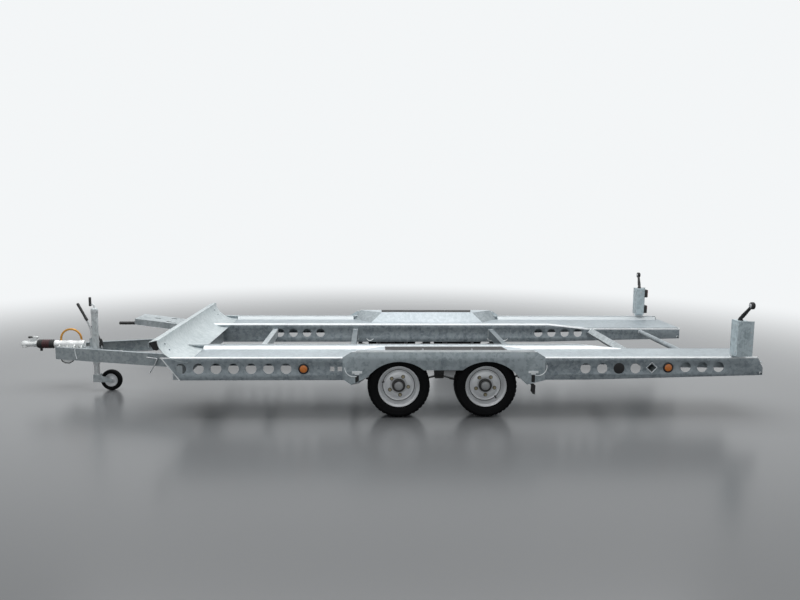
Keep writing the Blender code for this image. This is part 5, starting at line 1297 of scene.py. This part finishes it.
def marker(label, side):
    """The outline marker: a rubber boot, a tapered arm and a round head with two lenses."""
    body = f"{label}_lamp_post_body"
    foot = Vector((POST_X, side * POST_Y, POST_TOP + 0.0003))
    head = Vector((POST_X + 0.028, side * (POST_Y + 0.122), POST_TOP + 0.14))
    rise = Vector((POST_X, side * POST_Y, POST_TOP + 0.014))
    along = (head - rise).normalized()
    arm = Shape().rod(foot, foot + Vector((0, 0, 0.008)), 0.0215, 28, 0.019)
    path = smooth_path([foot + Vector((0, 0, 0.004)), rise, rise + along * 0.06, head - along * 0.022], 6)
    arm.pipe(path, 0.0175, 24, 0.0125)
    for share in (0.25, 0.4, 0.55):
        at = rise + along * 0.15 * share
        arm.rod(at, at + along * 0.006, 0.0186 - share * 0.006, 24)
    ring = [(0.017, -0.015), (0.0255, -0.015), (0.0292, -0.011), (0.03, 0.0), (0.0292, 0.011),
            (0.0255, 0.015), (0.017, 0.015)]
    arm.turned(ring, head, "X", 44)
    arm.make(f"{label}_marker_arm", SOFT_RUBBER, body, angle=45, stands_for=[f"{label}_marker_lamp"])
    cup = [(0.0, 0.0), (0.018, 0.0), (0.018, 0.014), (0.016, 0.0175), (0.011, 0.02), (0.006, 0.021),
           (0.0, 0.0212)]
    for name, way, tone in (("front", -1, CLEAR_LENS), ("rear", 1, RED_LENS)):
        Shape().turned(facing(cup, way), head, "X", 40).make(
            f"{label}_marker_{name}_lens", tone, body, angle=45)


def side_lamp(label, side, end):
    """A domed amber lens in a black ring, pressed into a round hole of the rail."""
    x, z = SIDE_LAMPS[end]
    centre = (x, side * OUTER_Y, z)
    ring = [(0.03, -0.006), (0.0434, -0.006), (0.0434, 0.005), (0.0405, 0.008), (0.035, 0.0086),
            (0.0312, 0.006)]
    back = [(0.0, -0.0138), (0.034, -0.0138), (0.04, -0.01), (0.04, -0.005), (0.0, -0.005)]
    work = Shape().turned(facing(ring, side), centre, "Y", 56).turned(facing(back, side), centre, "Y", 40)
    work.make(f"{label}_{end}_lamp_ring", SOFT_RUBBER, angle=40)
    dome = [(0.0, -0.0048), (0.0314, -0.0048), (0.0314, 0.005), (0.029, 0.0078), (0.023, 0.0092),
            (0.012, 0.0099), (0.0, 0.01)]
    Shape().turned(facing(dome, side), centre, "Y", 48).make(
        f"{label}_{end}_amber_dome", AMBER_LENS, angle=40, stands_for=[f"{label}_{end}_side_lamp"])


for label, side in SIDES:
    keep(f"drawbar_{label}_rail", DRAWBAR_ZINC, 0.0018)
    post(label, side)
    rear_lamp(label)
    marker(label, side)
    for end in SIDE_LAMPS:
        side_lamp(label, side, end)
keep("drawbar_head_plate", DRAWBAR_ZINC, 0.001)
drawbar_details()
housing()
bellows()
coupling()
hoop()
brake()
bracket()
jockey()


# Floor, light and camera

def lay_floor():
    """A grey floor that fades into the pale backdrop."""
    mesh = bpy.data.meshes.new("floor")
    corners = [(x, y, 0) for x, y in rect(-FLOOR_HALF, -FLOOR_HALF, FLOOR_HALF, FLOOR_HALF)]
    mesh.from_pydata(corners, [], [(0, 1, 2, 3)])
    item = bpy.data.objects.new("floor", mesh)
    bpy.context.scene.collection.objects.link(item)
    finish = Finish("pale_floor", roughness=0.24)
    where = finish.node("ShaderNodeVectorMath", {"operation": "LENGTH"}, {0: finish.place()})
    clouds = finish.noise(0.7, 3.0)
    finish.set("Base Color", finish.mix(clouds * 0.5, rgba(FLOOR_TONE), rgba(grey(1.12, FLOOR_TONE))))
    glow = finish.node("ShaderNodeEmission", None, {"Color": rgba(BACKDROP), "Strength": 1.0})
    fade = finish.node("ShaderNodeMapRange", {"interpolation_type": "SMOOTHSTEP"},
                       {"Value": where.outputs["Value"], "From Min": FADE_START, "From Max": FADE_END})
    blend = finish.node("ShaderNodeMixShader", None,
                        {0: fade.outputs[0], 1: finish.shader.outputs[0], 2: glow.outputs[0]})
    finish.put(finish.tree.nodes["Material Output"].inputs["Surface"], blend.outputs[0])
    mesh.materials.append(finish.material)


def hang_sky():
    """The backdrop that the camera and reflections see, and the weaker light of the sky."""
    world = bpy.data.worlds.new("studio")
    bpy.context.scene.world = world
    sky = Nodes(world)
    sky.tree.nodes.clear()
    rays = sky.node("ShaderNodeLightPath")
    seen = rays.outputs["Is Camera Ray"]
    for kind in ("Is Glossy Ray", "Is Transmission Ray"):
        either = sky.node("ShaderNodeMath", {"operation": "MAXIMUM"}, {0: seen, 1: rays.outputs[kind]})
        seen = either.outputs[0]
    lit = sky.node("ShaderNodeBackground", None, {"Color": rgba(SKY_TONE), "Strength": SKY_STRENGTH})
    shown = sky.node("ShaderNodeBackground", None, {"Color": rgba(BACKDROP), "Strength": 1.0})
    mix = sky.node("ShaderNodeMixShader", None, {0: seen, 1: lit.outputs[0], 2: shown.outputs[0]})
    sky.node("ShaderNodeOutputWorld", None, {0: mix.outputs[0]})


def hang_lamp(name, place, target, size, power):
    """A rectangular lamp that points at its target."""
    data = bpy.data.lights.new(name, "AREA")
    data.shape = "RECTANGLE"
    data.size, data.size_y = size
    data.energy = power
    item = bpy.data.objects.new(name, data)
    item.location = place
    item.rotation_euler = (Vector(target) - Vector(place)).to_track_quat("-Z", "Y").to_euler()
    bpy.context.scene.collection.objects.link(item)


def set_camera():
    """The camera that was fitted to both sides of the frame in the photograph."""
    data = bpy.data.cameras.new("camera")
    data.lens = CAMERA_LENS
    data.sensor_width = 36.0
    data.clip_end = 200.0
    camera = bpy.data.objects.new("camera", data)
    bpy.context.scene.collection.objects.link(camera)
    level = math.cos(CAMERA_PITCH)
    forward = Vector((math.sin(CAMERA_YAW) * level, math.cos(CAMERA_YAW) * level, -math.sin(CAMERA_PITCH)))
    right = Vector((math.cos(CAMERA_YAW), -math.sin(CAMERA_YAW), 0.0))
    up = right.cross(forward)
    across = math.cos(CAMERA_ROLL) * right + math.sin(CAMERA_ROLL) * up
    upward = -math.sin(CAMERA_ROLL) * right + math.cos(CAMERA_ROLL) * up
    turn = Matrix((across, upward, -forward)).transposed().to_4x4()
    camera.matrix_world = Matrix.Translation(CAMERA_PLACE) @ turn
    bpy.context.scene.camera = camera


lay_floor()
hang_sky()
for values in LAMPS:
    hang_lamp(*values)
bpy.context.scene.view_settings.view_transform = "Standard"
set_camera()
